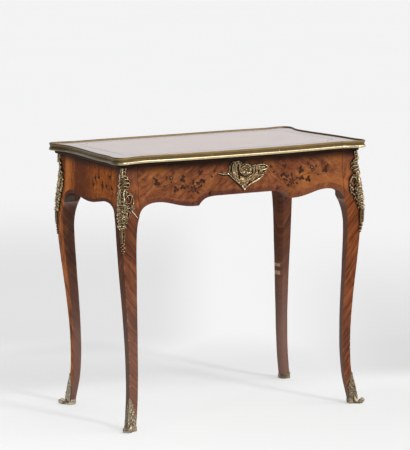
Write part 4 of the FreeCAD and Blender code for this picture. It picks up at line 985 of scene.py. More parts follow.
def closed_curve(half, per=40):
    """Dense smooth closed curve through a mirrored half outline, counter-clockwise seen from above."""
    p = [(float(x), float(y)) for x, y in half]
    p = p + [(-x, y) for x, y in p[-2:0:-1]]
    n = len(p)
    d = [math.sqrt(math.hypot(p[(i + 1) % n][0] - p[i][0], p[(i + 1) % n][1] - p[i][1])) for i in range(n)]
    out = []
    for i in range(n):
        a, b, c, e = p[i - 1], p[i], p[(i + 1) % n], p[(i + 2) % n]
        d0, d1, d2 = d[i - 1], d[i], d[(i + 1) % n]
        m1 = [((b[k] - a[k]) / d0 - (c[k] - a[k]) / (d0 + d1) + (c[k] - b[k]) / d1) * d1 for k in (0, 1)]
        m2 = [((c[k] - b[k]) / d1 - (e[k] - b[k]) / (d1 + d2) + (e[k] - c[k]) / d2) * d1 for k in (0, 1)]
        for j in range(per):
            t = j / per
            h00, h10 = 2 * t ** 3 - 3 * t * t + 1, t ** 3 - 2 * t * t + t
            h01, h11 = -2 * t ** 3 + 3 * t * t, t ** 3 - t * t
            out.append(tuple(h00 * b[k] + h10 * m1[k] + h01 * c[k] + h11 * m2[k] for k in (0, 1)))
    return out


def with_normals(c):
    c = np.array(c)
    t = np.roll(c, -1, 0) - np.roll(c, 1, 0)
    t /= np.linalg.norm(t, axis=1)[:, None]
    return np.column_stack([c, t[:, 1], -t[:, 0]])


def resample(pts, count):
    s = np.concatenate([[0], np.cumsum(np.linalg.norm(np.diff(pts[:, :2], axis=0), axis=1))])
    w = np.linspace(0, s[-1], count)
    v = np.stack([np.interp(w, s, pts[:, k]) for k in range(4)], 1)
    v[:, 2:] /= np.linalg.norm(v[:, 2:], axis=1)[:, None]
    return v


def outline_pieces():
    c = with_normals(closed_curve(TOP_LINE))

    def at(test, value, index):
        ok = np.nonzero(test)[0]
        return int(ok[np.argmin(np.abs(c[ok, index] - value))])

    x, y = c[:, 0], c[:, 1]
    marks = [at((y < -150) & (x < 0), -SEAM_FRONT, 0), at((y < -150) & (x > 0), SEAM_FRONT, 0), at(x > 330, SEAM_SIDE_FRONT, 1),
             at(x > 330, SEAM_SIDE_BACK, 1), at((y > 150) & (x > 0), SEAM_BACK, 0), at((y > 150) & (x < 0), -SEAM_BACK, 0),
             at(x < -330, SEAM_SIDE_BACK, 1), at(x < -330, SEAM_SIDE_FRONT, 1)]
    names = ["rim_front", "rim_corner_front_right", "rim_right", "rim_corner_back_right", "rim_back", "rim_corner_back_left",
             "rim_left", "rim_corner_front_left"]
    counts = [97, 61, 65, 61, 97, 61, 65, 61]
    out = []
    for i in range(8):
        a, b = marks[i], marks[(i + 1) % 8]
        run = c[a:b + 1] if a < b else np.vstack([c[a:], c[:b + 1]])
        out.append((names[i], resample(run, counts[i])))
    return out


OUTLINE = outline_pieces()
SECTION = smooth_section()


def build_rims():
    for name, pts in OUTLINE:
        p = np.array(pts)
        # the ends are eased a little, so that the butt joints show as fine lines
        step = np.linalg.norm(p[1, :2] - p[0, :2])
        lo, hi = p[0] + (p[1] - p[0]) * (0.35 / step), p[-1] + (p[-2] - p[-1]) * (0.35 / step)
        p = np.vstack([p[:1], lo[None], p[1:-1], hi[None], p[-1:]])
        m = len(SECTION)
        mid = np.array([-4.4, 9.0])
        verts = []
        for r, (x, y, nx, ny) in enumerate(p):
            sec = SECTION
            if r in (0, len(p) - 1):
                sec = SECTION + (mid - SECTION) * 0.045
            verts.append(np.stack([x + nx * sec[:, 0], y + ny * sec[:, 0], RIM_BOTTOM + sec[:, 1]], 1))
        verts = np.vstack(verts) * MM * np.array([1.0, 0.99985, 1.0])
        faces = []
        for r in range(len(p) - 1):
            for s in range(m):
                t = (s + 1) % m
                faces.append((r * m + s, (r + 1) * m + s, (r + 1) * m + t, r * m + t))
        faces.append(tuple(range(m)))
        faces.append(tuple(range((len(p) - 1) * m, len(p) * m))[::-1])
        o = mesh_object(name + "_brass", verts, faces, RIM, "frame")
        flat = np.ones(len(o.data.polygons), dtype=bool)
        flat[-2:] = False
        o.data.polygons.foreach_set("use_smooth", flat)
        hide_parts(name)


build_rims()


# domed heads of the pins in the hollow of the rim
def build_pin_heads():
    verts, faces = [], []
    look = dict(OUTLINE)
    spots = []
    for piece in ("rim_front", "rim_back"):
        spots += [(piece, f) for f in (1 / 24, 8 / 24, 16 / 24, 23 / 24)]
    for piece in ("rim_left", "rim_right"):
        spots += [(piece, f) for f in (1 / 16, 0.5, 15 / 16)]
    for piece in ("rim_corner_front_left", "rim_corner_front_right", "rim_corner_back_left", "rim_corner_back_right"):
        spots += [(piece, f) for f in (2 / 30, 28 / 30)]
    for piece, f in spots:
        pts = look[piece]
        x, y, nx, ny = pts[int(round(f * (len(pts) - 1)))]
        base = np.array([x - nx * 3.3, y - ny * 3.3, RIM_BOTTOM + 9.1])
        n, t, u = np.array([nx, ny, 0]), np.array([-ny, nx, 0]), np.array([0, 0, 1.0])
        k0 = len(verts)
        rings, seg = 5, 14
        for r in range(rings):
            a = r / (rings - 1) * math.pi / 2
            for s in range(seg):
                b = 2 * math.pi * s / seg
                verts.append(base + n * (1.15 * math.cos(a) - 0.25) * 1.0 * (1 if r < rings - 1 else 0.2)
                             + (t * math.cos(b) + u * math.sin(b)) * 1.75 * math.sin(a))
        for r in range(rings - 1):
            for s in range(seg):
                q = (s + 1) % seg
                faces.append((k0 + r * seg + s, k0 + (r + 1) * seg + s, k0 + (r + 1) * seg + q, k0 + r * seg + q))
    mesh_object("rim_pin_heads", np.array(verts) * MM, faces, PIN, "frame")


build_pin_heads()


# ------------------------------------------------------------------ keyhole cartouche
def place_front(a, b, h):
    e = 0.5
    y = front_y(a, b)
    dx = (front_y(a + e, b) - front_y(a - e, b)) / (2 * e)
    dz = (front_y(a, b + e) - front_y(a, b - e)) / (2 * e)
    ln = np.sqrt(1 + dx * dx + dz * dz)
    return np.stack([a - dx / ln * h, -(y + h / ln), b - dz / ln * h], -1)


def dome_heads(name, spots, body, replaced):
    """Small domed heads of the pins: each spot is a place function, (a, b), height of the ground and radius."""
    verts, faces = [], []
    rings, seg = 5, 14
    for place, a, b, h0, rad in spots:
        k0 = len(verts)
        for r in range(rings):
            f = r / (rings - 1)
            for j in range(seg):
                t = 2 * math.pi * j / seg
                aa, bb = np.array([a + rad * f * math.cos(t)]), np.array([b + rad * f * math.sin(t)])
                verts.append(place(aa, bb, np.array([h0 + 1.0 * math.sqrt(max(0.0, 1 - f * f)) - (0.6 if r == rings - 1 else 0.0)]))[0])
        flip = np.cross(verts[k0 + seg + 1] - verts[k0 + seg], verts[k0 + 2 * seg] - verts[k0 + seg])
        out = place(np.array([a]), np.array([b]), np.array([h0 + 1.0]))[0] - place(np.array([a]), np.array([b]), np.array([h0]))[0]
        up = np.dot(flip, out) > 0
        for r in range(rings - 1):
            for j in range(seg):
                q = (j + 1) % seg
                fc = (k0 + r * seg + j, k0 + r * seg + q, k0 + (r + 1) * seg + q, k0 + (r + 1) * seg + j)
                faces.append(fc if up else fc[::-1])
    o = mesh_object(name, np.array(verts) * MM, faces, PIN, body)
    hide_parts(replaced)


def build_cartouche():
    r = Relief(-78.0, 80.5, 623.5, 708.0, 0.45)
    body = [(-76, 677), (-66, 673), (-54, 671.4), (-46, 672.4), (-39, 666.6), (-30, 657.6), (-20, 649.4), (-14, 641.0), (-8, 634.6), (-4.4, 628.8), (0.6, 625.8), (5.4, 628.6), (9, 634.4),
            (20, 641.6), (34, 647.6), (46, 653.4), (57, 659.6), (62, 667), (70, 675), (79, 683), (72, 690), (60, 693.6), (48, 695), (36, 693), (28, 693),
            (21, 700), (10, 705), (-2, 702.6), (-12, 706), (-24, 705.6), (-33, 701), (-39.6, 692), (-41.6, 681), (-48, 678.4), (-58, 680.6), (-68, 680.4)]
    r.plate(spl(body + body[:1], 190), 0.9, 0.3)
    ground = [(0.86 * a + 0.6, 672.0 + 0.84 * (b - 672.0)) for a, b in body if a > -44.0]
    r.plate(spl(ground + ground[:1], 170), 3.6, 1.2)
    # hollow ground between the main members
    r.stroke([(-4, 648), (8, 650), (22, 656), (34, 665)], [3.0, 3.6, 3.4, 2.4], [4.4, 5.0, 5.0, 4.2], n=50)
    # lower left border: a slim moulding that runs out from the leaf and breaks into beads towards the point
    r.stroke([(-75, 677.2), (-66, 674.2), (-55, 672.8), (-46.5, 673.6), (-39, 668), (-30, 659), (-20.5, 650.6), (-14, 644.4)],
             [0.7, 1.2, 1.4, 1.6, 1.7, 1.6, 1.3], [3.4, 4.8, 5.2, 5.8, 6.0, 5.8, 5.2], n=90)
    r.stroke([(-45, 679), (-37.4, 673.2), (-29.6, 665.2), (-21, 656.6), (-12.6, 649.6), (-6, 645)], [0.7, 1.1, 1.2, 1.0], [4.2, 5.4, 5.4, 4.6], n=60)
    r.leaf((-46, 676.6), (-75, 678.4), 2.2, 4.0, 4.8, 5)
    r.volute((-64.0, 677.0), 3.0, 1.0, 200, 1.1, [1.1, 0.8], [5.4, 4.8], "round", 1.1, 5.0)
    beads = (((-21.0, 653.0), 2.4, 6.6), ((-15.8, 648.2), 3.5, 8.2), ((-10.6, 642.6), 2.5, 7.0), ((-5.6, 637.6), 3.5, 8.4), ((-3.0, 632.6), 2.2, 6.8), ((0.8, 629.6), 3.7, 8.8),
             ((-8.0, 648.0), 2.0, 6.4), ((-1.0, 642.2), 2.6, 6.8), ((5.4, 637.6), 2.4, 7.0))
    for c, rad, hh in beads:
        r.boss(c, rad, hh)
    # lower right border: a smooth roll, with lines that follow it inside
    r.stroke([(3.4, 631.6), (10.8, 638.0), (20, 643.2), (28, 646.8), (38.4, 651.4), (48, 656.0), (56, 660.6)], [1.7, 2.3, 2.6, 2.9, 3.1, 2.8, 1.3],
             [5.8, 7.2, 8.0, 8.6, 9.0, 8.4, 5.6], n=90)
    r.stroke([(-1, 648.4), (11, 653.0), (23, 659.2), (34.4, 668), (39.6, 677), (38.6, 687)], [1.0, 1.8, 2.2, 2.2, 1.9, 1.1], [5.0, 6.2, 6.6, 6.8, 6.6, 5.4], n=80)
    r.stroke([(-3, 654.0), (9, 658.2), (19.6, 664), (27.6, 671.6), (32.0, 680.4), (30.6, 690)], [1.0, 1.8, 2.2, 2.1, 1.8, 1.1], [5.4, 6.8, 7.2, 7.4, 7.0, 5.8], n=80)
    # right wing: rolled upper edge, hollow, and a swelling leaf that ends in the tip
    r.stroke([(25, 690.8), (39, 692.4), (51.6, 693.2), (62, 692.0), (70.2, 689.4), (78.4, 684.2)], [1.3, 2.0, 2.2, 1.8, 1.4, 0.8], [5.8, 7.8, 8.0, 7.0, 6.0, 4.2], n=70)
    r.stroke([(43, 687.6), (56, 687.6), (67, 685.8), (76, 683)], [0.8, 1.3, 1.2, 0.7], [5.0, 6.0, 5.8, 4.4], n=40)
    r.stroke([(48.4, 676.6), (55, 678.6), (61.4, 679.2), (68, 680.2), (75.6, 681.4)], [2.0, 3.2, 3.3, 2.6, 1.1], [6.6, 9.2, 9.4, 8.4, 5.2], n=60)
    r.stroke([(57, 661.6), (60.4, 667.4), (64.6, 672.2), (71, 676.8)], [0.8, 1.3, 1.3, 0.8], [4.6, 5.4, 5.2, 4.4], n=40)
    r.stroke([(50, 662.4), (54, 668), (59, 673)], [0.8, 1.1, 0.8], [4.8, 5.4, 4.8], n=26)
    r.boss((62.0, 695.2), 2.8, 4.6)
    # large C-scroll on the left: two raised lips with barbs between them, open towards the knot
    lip_o = spl([(-12, 706), (-20, 706.2), (-28, 702.2), (-33.4, 693), (-33.8, 682), (-29.8, 670.6), (-21, 660.8), (-9, 655.4), (2, 655.4)], 80)
    lip_i = spl([(-11, 701.4), (-17.6, 700.4), (-21.6, 694.6), (-22.8, 686), (-21.4, 677.4), (-17.4, 669.4), (-10.6, 663.4), (-2.6, 660.8), (4, 661.2)], 80)
    for i in range(4, 78, 9):
        p, q = lip_o[i], lip_i[min(79, i + 5)]
        m = (p + q) / 2 + np.array([0.6, -0.8])
        r.stroke([p, m, q], [2.6, 2.3, 2.0], [5.6, 5.4, 5.8], n=16)
    r.stroke(lip_o[::8], [0.9, 1.3, 1.5, 1.4, 1.2, 0.8], [5.2, 6.8, 7.2, 7.0, 6.4, 5.0], n=100)
    r.stroke(lip_i[::8], [0.9, 1.2, 1.3, 1.3, 1.2, 0.8], [5.6, 7.0, 7.4, 7.2, 6.8, 5.4], n=100)
    for c, rad, hh in (((-28.6, 678.0), 2.9, 7.6), ((-27.6, 690.6), 2.3, 6.8), ((-22.8, 667.6), 2.4, 6.8), ((-12.4, 659.4), 2.3, 6.8)):
        r.boss(c, rad, hh)
    r.leaf((-10, 661.0), (-1.6, 656.6), 1.0, 3.4, 7.4, 0)
    # outer stem beside it
    r.stroke([(-46, 679.5), (-42.4, 683), (-41.6, 690), (-39.6, 697.4), (-34.6, 703.6), (-28, 706)], [0.8, 1.1, 1.2, 1.1, 0.9, 0.7], [4.4, 5.2, 5.4, 5.2, 4.8, 4.2], n=50)
    r.cut((-37.7, 688.0), 1.5, 8.2, 4.0, 0.15)
    # crest between scroll and wing
    for base, tip, bend, w in (((0, 693), (-6, 704.6), 1.5, 3.4), ((5, 694), (4.6, 705.2), -1.0, 3.4), ((11, 692), (13.6, 704.4), -1.4, 3.4), ((17, 690), (21.4, 700), -1.4, 3.2)):
        r.leaf(base, tip, bend, w, 5.8, 4)
    # knot in the middle: a body turning in on itself, with rubbed lobes
    r.stroke([(-9.4, 692.4), (-3, 697.0), (6, 697.6), (15.6, 693.4), (21.6, 685.4), (21.4, 676.4), (15.4, 669.4), (6.6, 666.8), (0, 668.6)],
             [1.4, 2.2, 2.4, 2.3, 2.3, 2.2, 2.0, 1.6, 1.0], [5.8, 7.2, 7.6, 7.6, 7.6, 7.4, 7.0, 6.6, 5.6], n=90)
    r.stroke([(-8.0, 683), (-4.6, 690.4), (3, 692.6), (9.6, 690.6), (13.4, 687)], [1.4, 2.3, 2.4, 2.0, 1.2], [6.8, 8.0, 8.4, 8.0, 6.6], n=50)
    r.stroke([(20.6, 688), (19.4, 680), (14.6, 673.4), (7.0, 670.6)], [1.2, 2.0, 2.1, 1.4], [6.6, 8.4, 8.6, 7.4], n=40)
    for c, rad, hh in (((-1.2, 676.1), 4.3, 9.4), ((9.3, 675.3), 3.5, 9.0), ((18.1, 681.5), 3.7, 9.4), ((4.4, 670.8), 2.7, 8.4), ((12.5, 688.7), 2.8, 8.4), ((6.2, 682.6), 4.1, 8.6),
                       ((-6.0, 682.0), 2.7, 8.2), ((0.4, 686.0), 3.0, 8.6)):
        r.boss(c, rad, hh)
    r.boss((-13.0, 698.0), 2.9, 8.2)
    r.worn(3, 0.70)
    # dark hollows: crescent between scroll and knot, beside the wing, between the lobes
    for c, ra, rb, an in (((-16.6, 693.0), 1.7, 3.6, -6.0), ((-16.8, 686.0), 2.2, 5.4, 2.0), ((-14.6, 677.6), 2.3, 5.0, 14.0), ((-10.4, 670.6), 2.0, 4.2, 38.0), ((-4.6, 666.4), 1.5, 3.2, 62.0)):
        r.cut(c, ra, rb, an, 0.3)
    for c, ra, rb, an, d in (((46.2, 671.6), 1.7, 4.8, 4.0, 0.2), ((35.6, 680.4), 0.9, 5.0, 8.0, 1.6), ((25.6, 679.0), 1.1, 5.4, 8.0, 1.8), ((13.2, 681.4), 0.8, 2.4, 10.0, 4.4),
                             ((4.2, 678.2), 0.7, 1.5, 40.0, 5.2), ((8.0, 664.4), 5.0, 1.0, 24.0, 1.6), ((52.0, 669.2), 1.3, 2.6, -30.0, 0.5)):
        r.cut(c, ra, rb, an, d)
    # opening of the keyhole
    r.cut((KEY_X, KEY_Z), 3.2, 3.2, 0.0, -1.0)
    r.cut((KEY_X, KEY_Z - 5.0), 1.7, 6.4, 0.0, -1.0)
    # limit so that nothing stands further out than the casting's own thickness
    top = (221.3 - front_y(r.A, r.B))
    heads = [(place_front, a, b, min(8.2, max(0.5, r.height(a, b)) - 0.2), 1.5) for a, b in ((-58.0, 676.0), (62.0, 696.0), (4.0, 634.0))]
    rise = lambda v, lo, hi: np.clip((v - lo) / (hi - lo), 0, 1)
    # painted highlights: the colour made lighter along the rolls, the wing, the lobes and the beads
    tone_lines = np.zeros(r.A.shape)
    for line, wide, much in (([(26, 646.0), (38.4, 651.4), (48, 656.0), (55, 660.2)], 3.0, 0.32), ([(50, 677), (61.4, 679.2), (74, 681.2)], 2.6, 0.22),
                             ([(40, 692.4), (51.6, 693.2), (62, 692.0)], 1.8, 0.14), ([(-29.5, 675), (-29.5, 681)], 2.4, 0.20), ([(-2.4, 676), (0.4, 676)], 3.0, 0.20),
                             ([(17, 680.6), (19, 683)], 2.8, 0.20), ([(-15.0, 698), (-13.0, 698.4)], 2.0, 0.16), ([(-5, 657.6), (-2, 658.6)], 2.6, 0.14), ([(9, 675), (10, 676)], 2.2, 0.10)):
        tone_lines = np.maximum(tone_lines, much * np.exp(-(r.near(spl(line, 30), r.A, r.B)[0] / wide) ** 2))
    for c, rad, hh in beads[1:6:2] + beads[2:3]:
        tone_lines = np.maximum(tone_lines, 0.20 * np.exp(-(np.hypot(r.A - c[0], r.B - c[1]) / (rad * 0.8)) ** 2))
    # and darker along the hollows of the crescent, the slits and beside the wing
    for line, wide, much in (([(-16.9, 696), (-16.2, 684), (-11.4, 672.4), (-1.5, 665.4), (8, 663.6)], 2.3, 0.34), ([(-37.8, 695), (-38.0, 681)], 1.5, 0.34),
                             ([(47.4, 678), (46.4, 667)], 1.7, 0.34), ([(25.6, 684), (24.6, 671)], 1.3, 0.16), ([(50, 667), (57, 670)], 1.8, 0.16), ([(3, 702), (18, 699)], 2.6, 0.14)):
        tone_lines = tone_lines - much * np.exp(-(r.near(spl(line, 30), r.A, r.B)[0] / wide) ** 2)
    # the lower part and the right wing are painted lighter as well, as highlights
    o = r.build("cartouche_cast", place_front, "drawer", "gilt_bronze", top=top, deep=0.58,
                lift=0.02 + 0.04 * rise(r.B, 660.0, 644.0) + 0.04 * rise(r.A, 34.0, 50.0) + tone_lines)
    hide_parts("keyhole_cartouche")
    dome_heads("cartouche_pin_heads", heads, "drawer", "cartouche_pins")


build_cartouche()


# ------------------------------------------------------------------ chutes on the legs
def leg_place(qx, qy, turn=4.5, spread=1.0):
    """Wraps (s, z) round the arris: s > 0 on the long face, s < 0 on the side face, where it can be spread."""
    def place(a, b, h):
        o = arris(b)
        a = np.where(a < 0, a * spread, a)
        t = np.clip(a / turn, -1, 1)
        phi = (math.pi / 4) * (1 + t * (1.5 - 0.5 * t * t))
        u = o + np.maximum(a, 0) - np.cos(phi) * h
        v = o + np.maximum(-a, 0) - np.sin(phi) * h
        return np.stack([qx * (HALF_W - u), qy * (HALF_D - v), b], -1)
    return place


def chute_relief():
    r = Relief(-27.0, 31.5, 481.0, 710.5, 0.5)
    core = [(-6, 709.6), (6, 709.6), (6.4, 696), (7.6, 688), (12.4, 681), (13.4, 668), (10.6, 657), (9.4, 647), (11.6, 640), (10.6, 626), (11.6, 612), (16.4, 600), (14.4, 588),
            (10.4, 574), (6.6, 562), (5, 552), (-6, 549), (-8.6, 557), (-10.6, 568), (-14, 584), (-14.6, 600), (-14.2, 612), (-16.4, 622), (-16, 640), (-11.4, 652), (-7.6, 664),
            (-7.6, 678), (-6.2, 688), (-6.2, 696)]
    r.plate(spl(core + core[:1], 190), 1.2, 0.4)
    rng = np.random.default_rng(77)
    # neck: a bundle of three reeds, tied twice, under a pair of small scrolls
    for q in (-5.6, 0.0, 5.6):
        r.stroke([(q * 0.72, 687), (q * 0.92, 697), (q * 1.1, 709)], [1.5, 1.6, 1.8], [5.8, 5.8, 4.6], n=24)
    r.stroke([(-6.4, 699.6), (0, 701.0), (6.4, 699.6)], [1.0, 1.2, 1.0], [6.2, 6.8, 6.2], n=20)
    r.stroke([(-5.6, 690.6), (0, 692.0), (5.6, 690.6)], [1.0, 1.2, 1.0], [6.4, 7.0, 6.4], n=20)
    # head: scrolls that follow one another down the long face, smaller ones on the side face
    for i, (s0, z0, l) in enumerate(((1.0, 689.0, 0.80), (2.0, 681.0, 1.18), (2.4, 671.4, 1.14), (1.4, 662.0, 0.90))):
        r.stroke([(s0, z0), (s0 + 6.5 * l, z0 - 1.0), (s0 + 12.0 * l, z0 - 4.6), (s0 + 12.4 * l, z0 - 10.5)], [1.0, 1.6, 1.4, 0.7], [6.2, 7.4, 6.8, 4.8], n=26)
        r.boss((s0 + 10.2 * l, z0 - 9.8), 1.4, 6.0)
        r.stroke([(-s0, z0 - 1), (-s0 - 4.6 * l, z0 - 3.0), (-s0 - 7.2 * l, z0 - 7.4), (-s0 - 6.0 * l, z0 - 11.6)], [0.9, 1.4, 1.2, 0.7], [5.8, 6.8, 6.2, 4.8], n=26)
    r.boss((0, 686.6), 2.4, 7.4)
    # body: uneven flutes with small rocaille over them
    r.rocaille([(-14, 654), (7, 654), (9, 640), (7, 626), (8, 612), (-13, 612), (-15, 636)], 5, 5.6, 2.2, 0.75, 5.2)
    for pts in ([(-8, 658), (-10.4, 645), (-9.4, 628), (-7.5, 612)], [(-2.4, 656), (-4.4, 641), (-3.4, 627), (-2.6, 612)], [(3.2, 655), (1.6, 643), (2.6, 629), (2.0, 612)],
                [(6.8, 652), (6.0, 643), (6.6, 637)]):
        r.stroke(pts, [0.8, 1.3, 1.2, 0.8], [5.2, 6.4, 6.2, 5.2], n=36)
    # left edge: a run of short scrolls of all sizes, each curling out of the one above
    for i, (cs, cz) in enumerate(spl([(-7.6, 682), (-9.4, 669), (-13.6, 656), (-18.0, 643), (-19.8, 630), (-18.6, 616), (-16.6, 603), (-16.6, 592), (-14.6, 581), (-11.4, 569), (-10.4, 557)], 16)):
        k = (0.75, 1.35, 0.9, 1.15)[i % 4] * (0.85 + 0.3 * rng.random())
        cs, cz = cs + rng.normal(0, 0.9), cz + rng.normal(0, 1.3)
        r.stroke([(cs + 5.0, cz + 5.4), (cs + 0.6, cz + 4.8), (cs - 2.6 * k, cz + 1.0), (cs - 1.6 * k, cz - 3.2), (cs + 1.0, cz - 3.8)], [0.7, 1.2 * k, 1.5 * k, 1.1, 0.7],
                 [5.2, 6.4, 7.2, 6.2, 5.0], n=30)
        if i % 3 == 1:
            r.boss((cs + 1.2, cz - 0.4), 1.3, 5.6)
    # open scroll on the long face round a deep hollow, and a chain of loops below it
    r.stroke([(8, 646), (14.5, 643.4), (20.6, 638.4), (25.6, 631), (28.0, 622), (27.6, 612.6), (25.0, 604.6), (20.4, 598.6)], [0.9, 1.4, 1.6, 1.4, 1.3, 1.2, 1.1, 0.8],
             [5.6, 6.8, 7.2, 6.6, 6.4, 6.2, 6.0, 5.0], n=80)
    r.stroke([(7.4, 630), (10.0, 636.6), (16.0, 638.6), (21.4, 633.4), (22.6, 625), (19.4, 617.4), (13.6, 616.2), (10.4, 620.6)], [0.9, 1.4, 1.5, 1.3, 1.2, 1.1, 1.0, 0.8],
             [6.0, 7.2, 7.4, 6.8, 6.6, 6.4, 6.0, 5.4], n=70)
    for c, rad in (((29.0, 608.0), 1.9), ((29.2, 601.6), 2.1), ((26.0, 596.4), 2.1), ((23.6, 610.4), 1.8), ((22.0, 603.6), 1.9), ((20.2, 592.4), 2.0), ((28.8, 615.4), 1.6)):
        r.stroke(ring_pts(c, rad, 0, 360, 9), 0.75, 6.2, n=18)
    r.stroke([(15.5, 606), (19.4, 605.4), (22.4, 600.6)], [1.0, 1.1, 0.8], [5.4, 6.0, 5.2], n=20)
    for c, rad in (((13.6, 611.0), 1.8), ((8.6, 609.6), 1.7), ((24.6, 620.4), 1.3)):
        r.boss(c, rad, 6.2)
    for c, ra, rb, an in (((16.0, 627.6), 4.0, 6.4, -14.0), ((13.0, 604.4), 1.4, 2.4, 10.0), ((17.4, 611.4), 1.3, 1.9, 20.0)):
        r.cut(c, ra, rb, an, 0.1)
    r.stroke([(9.6, 634), (13.6, 632.0), (14.6, 626.4)], [0.8, 1.0, 0.5], [4.8, 5.2, 3.6], n=20)
    # cross moulding, then scales that narrow to the curls at the end
    r.stroke([(-14.6, 609.6), (-6, 612.2), (4, 611.8), (11.5, 608.6)], [1.0, 1.4, 1.4, 1.0], [6.2, 7.4, 7.2, 6.0], n=40)
    z, row = 605.4, 0
    while z > 557.5:
        lo, hi = np.interp(z, [556, 568, 584, 600, 608], [-6.6, -9.0, -12.4, -13.0, -13.0]), np.interp(z, [556, 568, 584, 600, 608], [5.0, 8.2, 13.0, 15.4, 13.0])
        s0 = lo + (2.6 if row % 2 else 0.4)
        while s0 < hi - 0.2:
            c = (s0 + rng.normal(0, 0.5), z + rng.normal(0, 0.5))
            rad, turn, hh = 2.2 * (0.82 + 0.4 * rng.random()), rng.random() * 360.0, 5.6 * (0.76 + 0.44 * rng.random())
            r.stroke(ring_pts(c, rad, turn, turn + 270, 8), [0.95, 0.75, 0.6], [hh, hh, hh * 0.85], n=16)
            if rng.random() < 0.45:
                r.boss(c, 0.95, hh * 0.9)
            s0 += 5.1
        z -= 4.6
        row += 1
    # right edge: beads of unequal size with dark gaps, and two small leaves that break the line
    rope = spl([(19.6, 588.6), (17.0, 581.6), (14.2, 574.6), (11.0, 567.6), (8.4, 560.6)], 8)
    for i, c in enumerate(rope):
        r.boss(c, (2.4, 1.8, 2.1)[i % 3], (7.2, 6.0, 6.6)[i % 3])
    for a, b in zip(rope[:-1], rope[1:]):
        r.cut((a + b) / 2 + np.array([1.2, -0.6]), 0.8, 1.1, 0.0, 0.6)
    r.leaf((16.0, 585), (21.4, 574.0), 1.5, 2.1, 5.4, 3)
    r.leaf((10.0, 571), (14.4, 561.0), 1.2, 1.9, 5.2, 3)
    for c in ((-6.0, 596.0), (4.4, 588.0), (-5.0, 577.6), (3.0, 571.4), (9.6, 596.4), (-9.6, 587.0)):
        r.cut(c, 1.0, 1.5, 20.0, 0.7)
    # curls under it
    for c, rad, a0, a1 in (((-8.2, 553.0), 3.2, 40, 320), ((0.2, 549.4), 3.0, 30, 330), ((7.0, 553.4), 2.8, 220, -60), ((-4.0, 556.6), 2.2, 0, 270), ((3.6, 556.6), 2.0, 180, -90)):
        r.stroke(ring_pts(c, rad, a0, a1, 9), [1.4, 1.2, 0.8], [7.0, 6.8, 5.6], n=26)
        r.boss(c, 1.1, 6.0)
    r.worn(8, 0.6)
    # pendant: flat reeds bound together, quiet against the scrolls above
    for q in (-4.2, 0.0, 4.2):
        r.stroke([(q * 0.9, 547), (q * 1.1, 536), (q * 1.0, 523), (q * 0.75, 512)], [1.7, 2.1, 2.0, 1.5], [4.0, 4.3, 4.2, 3.8], n=40)
    for zz in (541.0, 530.4, 519.6):
        r.stroke([(-5.8, zz + 0.6), (0, zz - 0.8), (5.8, zz + 0.6)], [0.8, 0.9, 0.8], [4.6, 5.0, 4.6], n=18)
    # husks at the end
    r.plate([(-2.6, 515), (2.6, 515), (3.0, 500), (1.3, 484), (-1.3, 484), (-3.0, 500)], 0.8)
    for c, rad in (((-3.2, 512.0), 2.5), ((3.3, 510.2), 2.3), ((0.2, 505.8), 2.0), ((-3.5, 501.6), 2.6), ((3.4, 499.6), 2.4), ((0.0, 495.4), 2.0), ((-2.7, 491.0), 2.3),
                   ((2.6, 489.6), 2.1), ((0.0, 485.4), 2.1)):
        r.boss(c, rad, 5.4)
        r.cut((c[0], c[1] + rad * 0.35), 0.55, 0.7, 0.0, 2.6)
    r.swell(np.interp(r.B, [484, 500, 545, 580, 640, 668, 692, 704], [2.4, 4.6, 6.2, 7.0, 7.0, 6.0, 2.4, 0.0]))
    return r


CHUTE_RELIEF = chute_relief()
chute_full, chute_heads = CHUTE_RELIEF.S, []
for cname, qx, qy in CORNERS:
    # the castings on the left lie flatter on the wood than those on the right, and the back one reaches further round
    CHUTE_RELIEF.S = chute_full * {"front_left": 0.30, "back_left": 0.12}.get(cname, 1.0)
    spread = 1.7 if cname == "back_left" else 1.0
    chute_heads += [(leg_place(qx, qy, 4.5, spread), a, b, max(1.0, CHUTE_RELIEF.height(a, b)) - 0.3, 1.6) for a, b in ((13.0, 606.0), (-10.0, 640.0))]
    co = CHUTE_RELIEF.build("chute_cast_" + cname, leg_place(qx, qy, 4.5, spread), "frame", "gilt_bronze", deep=0.54,
                            lift=np.where(CHUTE_RELIEF.B < 548.0, -0.060, 0.040))
    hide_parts("chute_" + cname)
dome_heads("chute_pin_heads", chute_heads, "frame", "chute_pins")


def near_stalk():
    r = Relief(22.0, 50.0, 570.0, 602.0, 0.4)
    r.stroke([(24.5, 598), (30, 591.6), (37, 584.4), (44.6, 575.6)], [1.6, 1.4, 1.3, 1.0], [2.6, 2.2, 2.0, 1.5], n=40)
    r.build("chute_stalk_front_left", leg_place(-1, -1), "frame", "gilt_bronze", lift=0.36)


near_stalk()


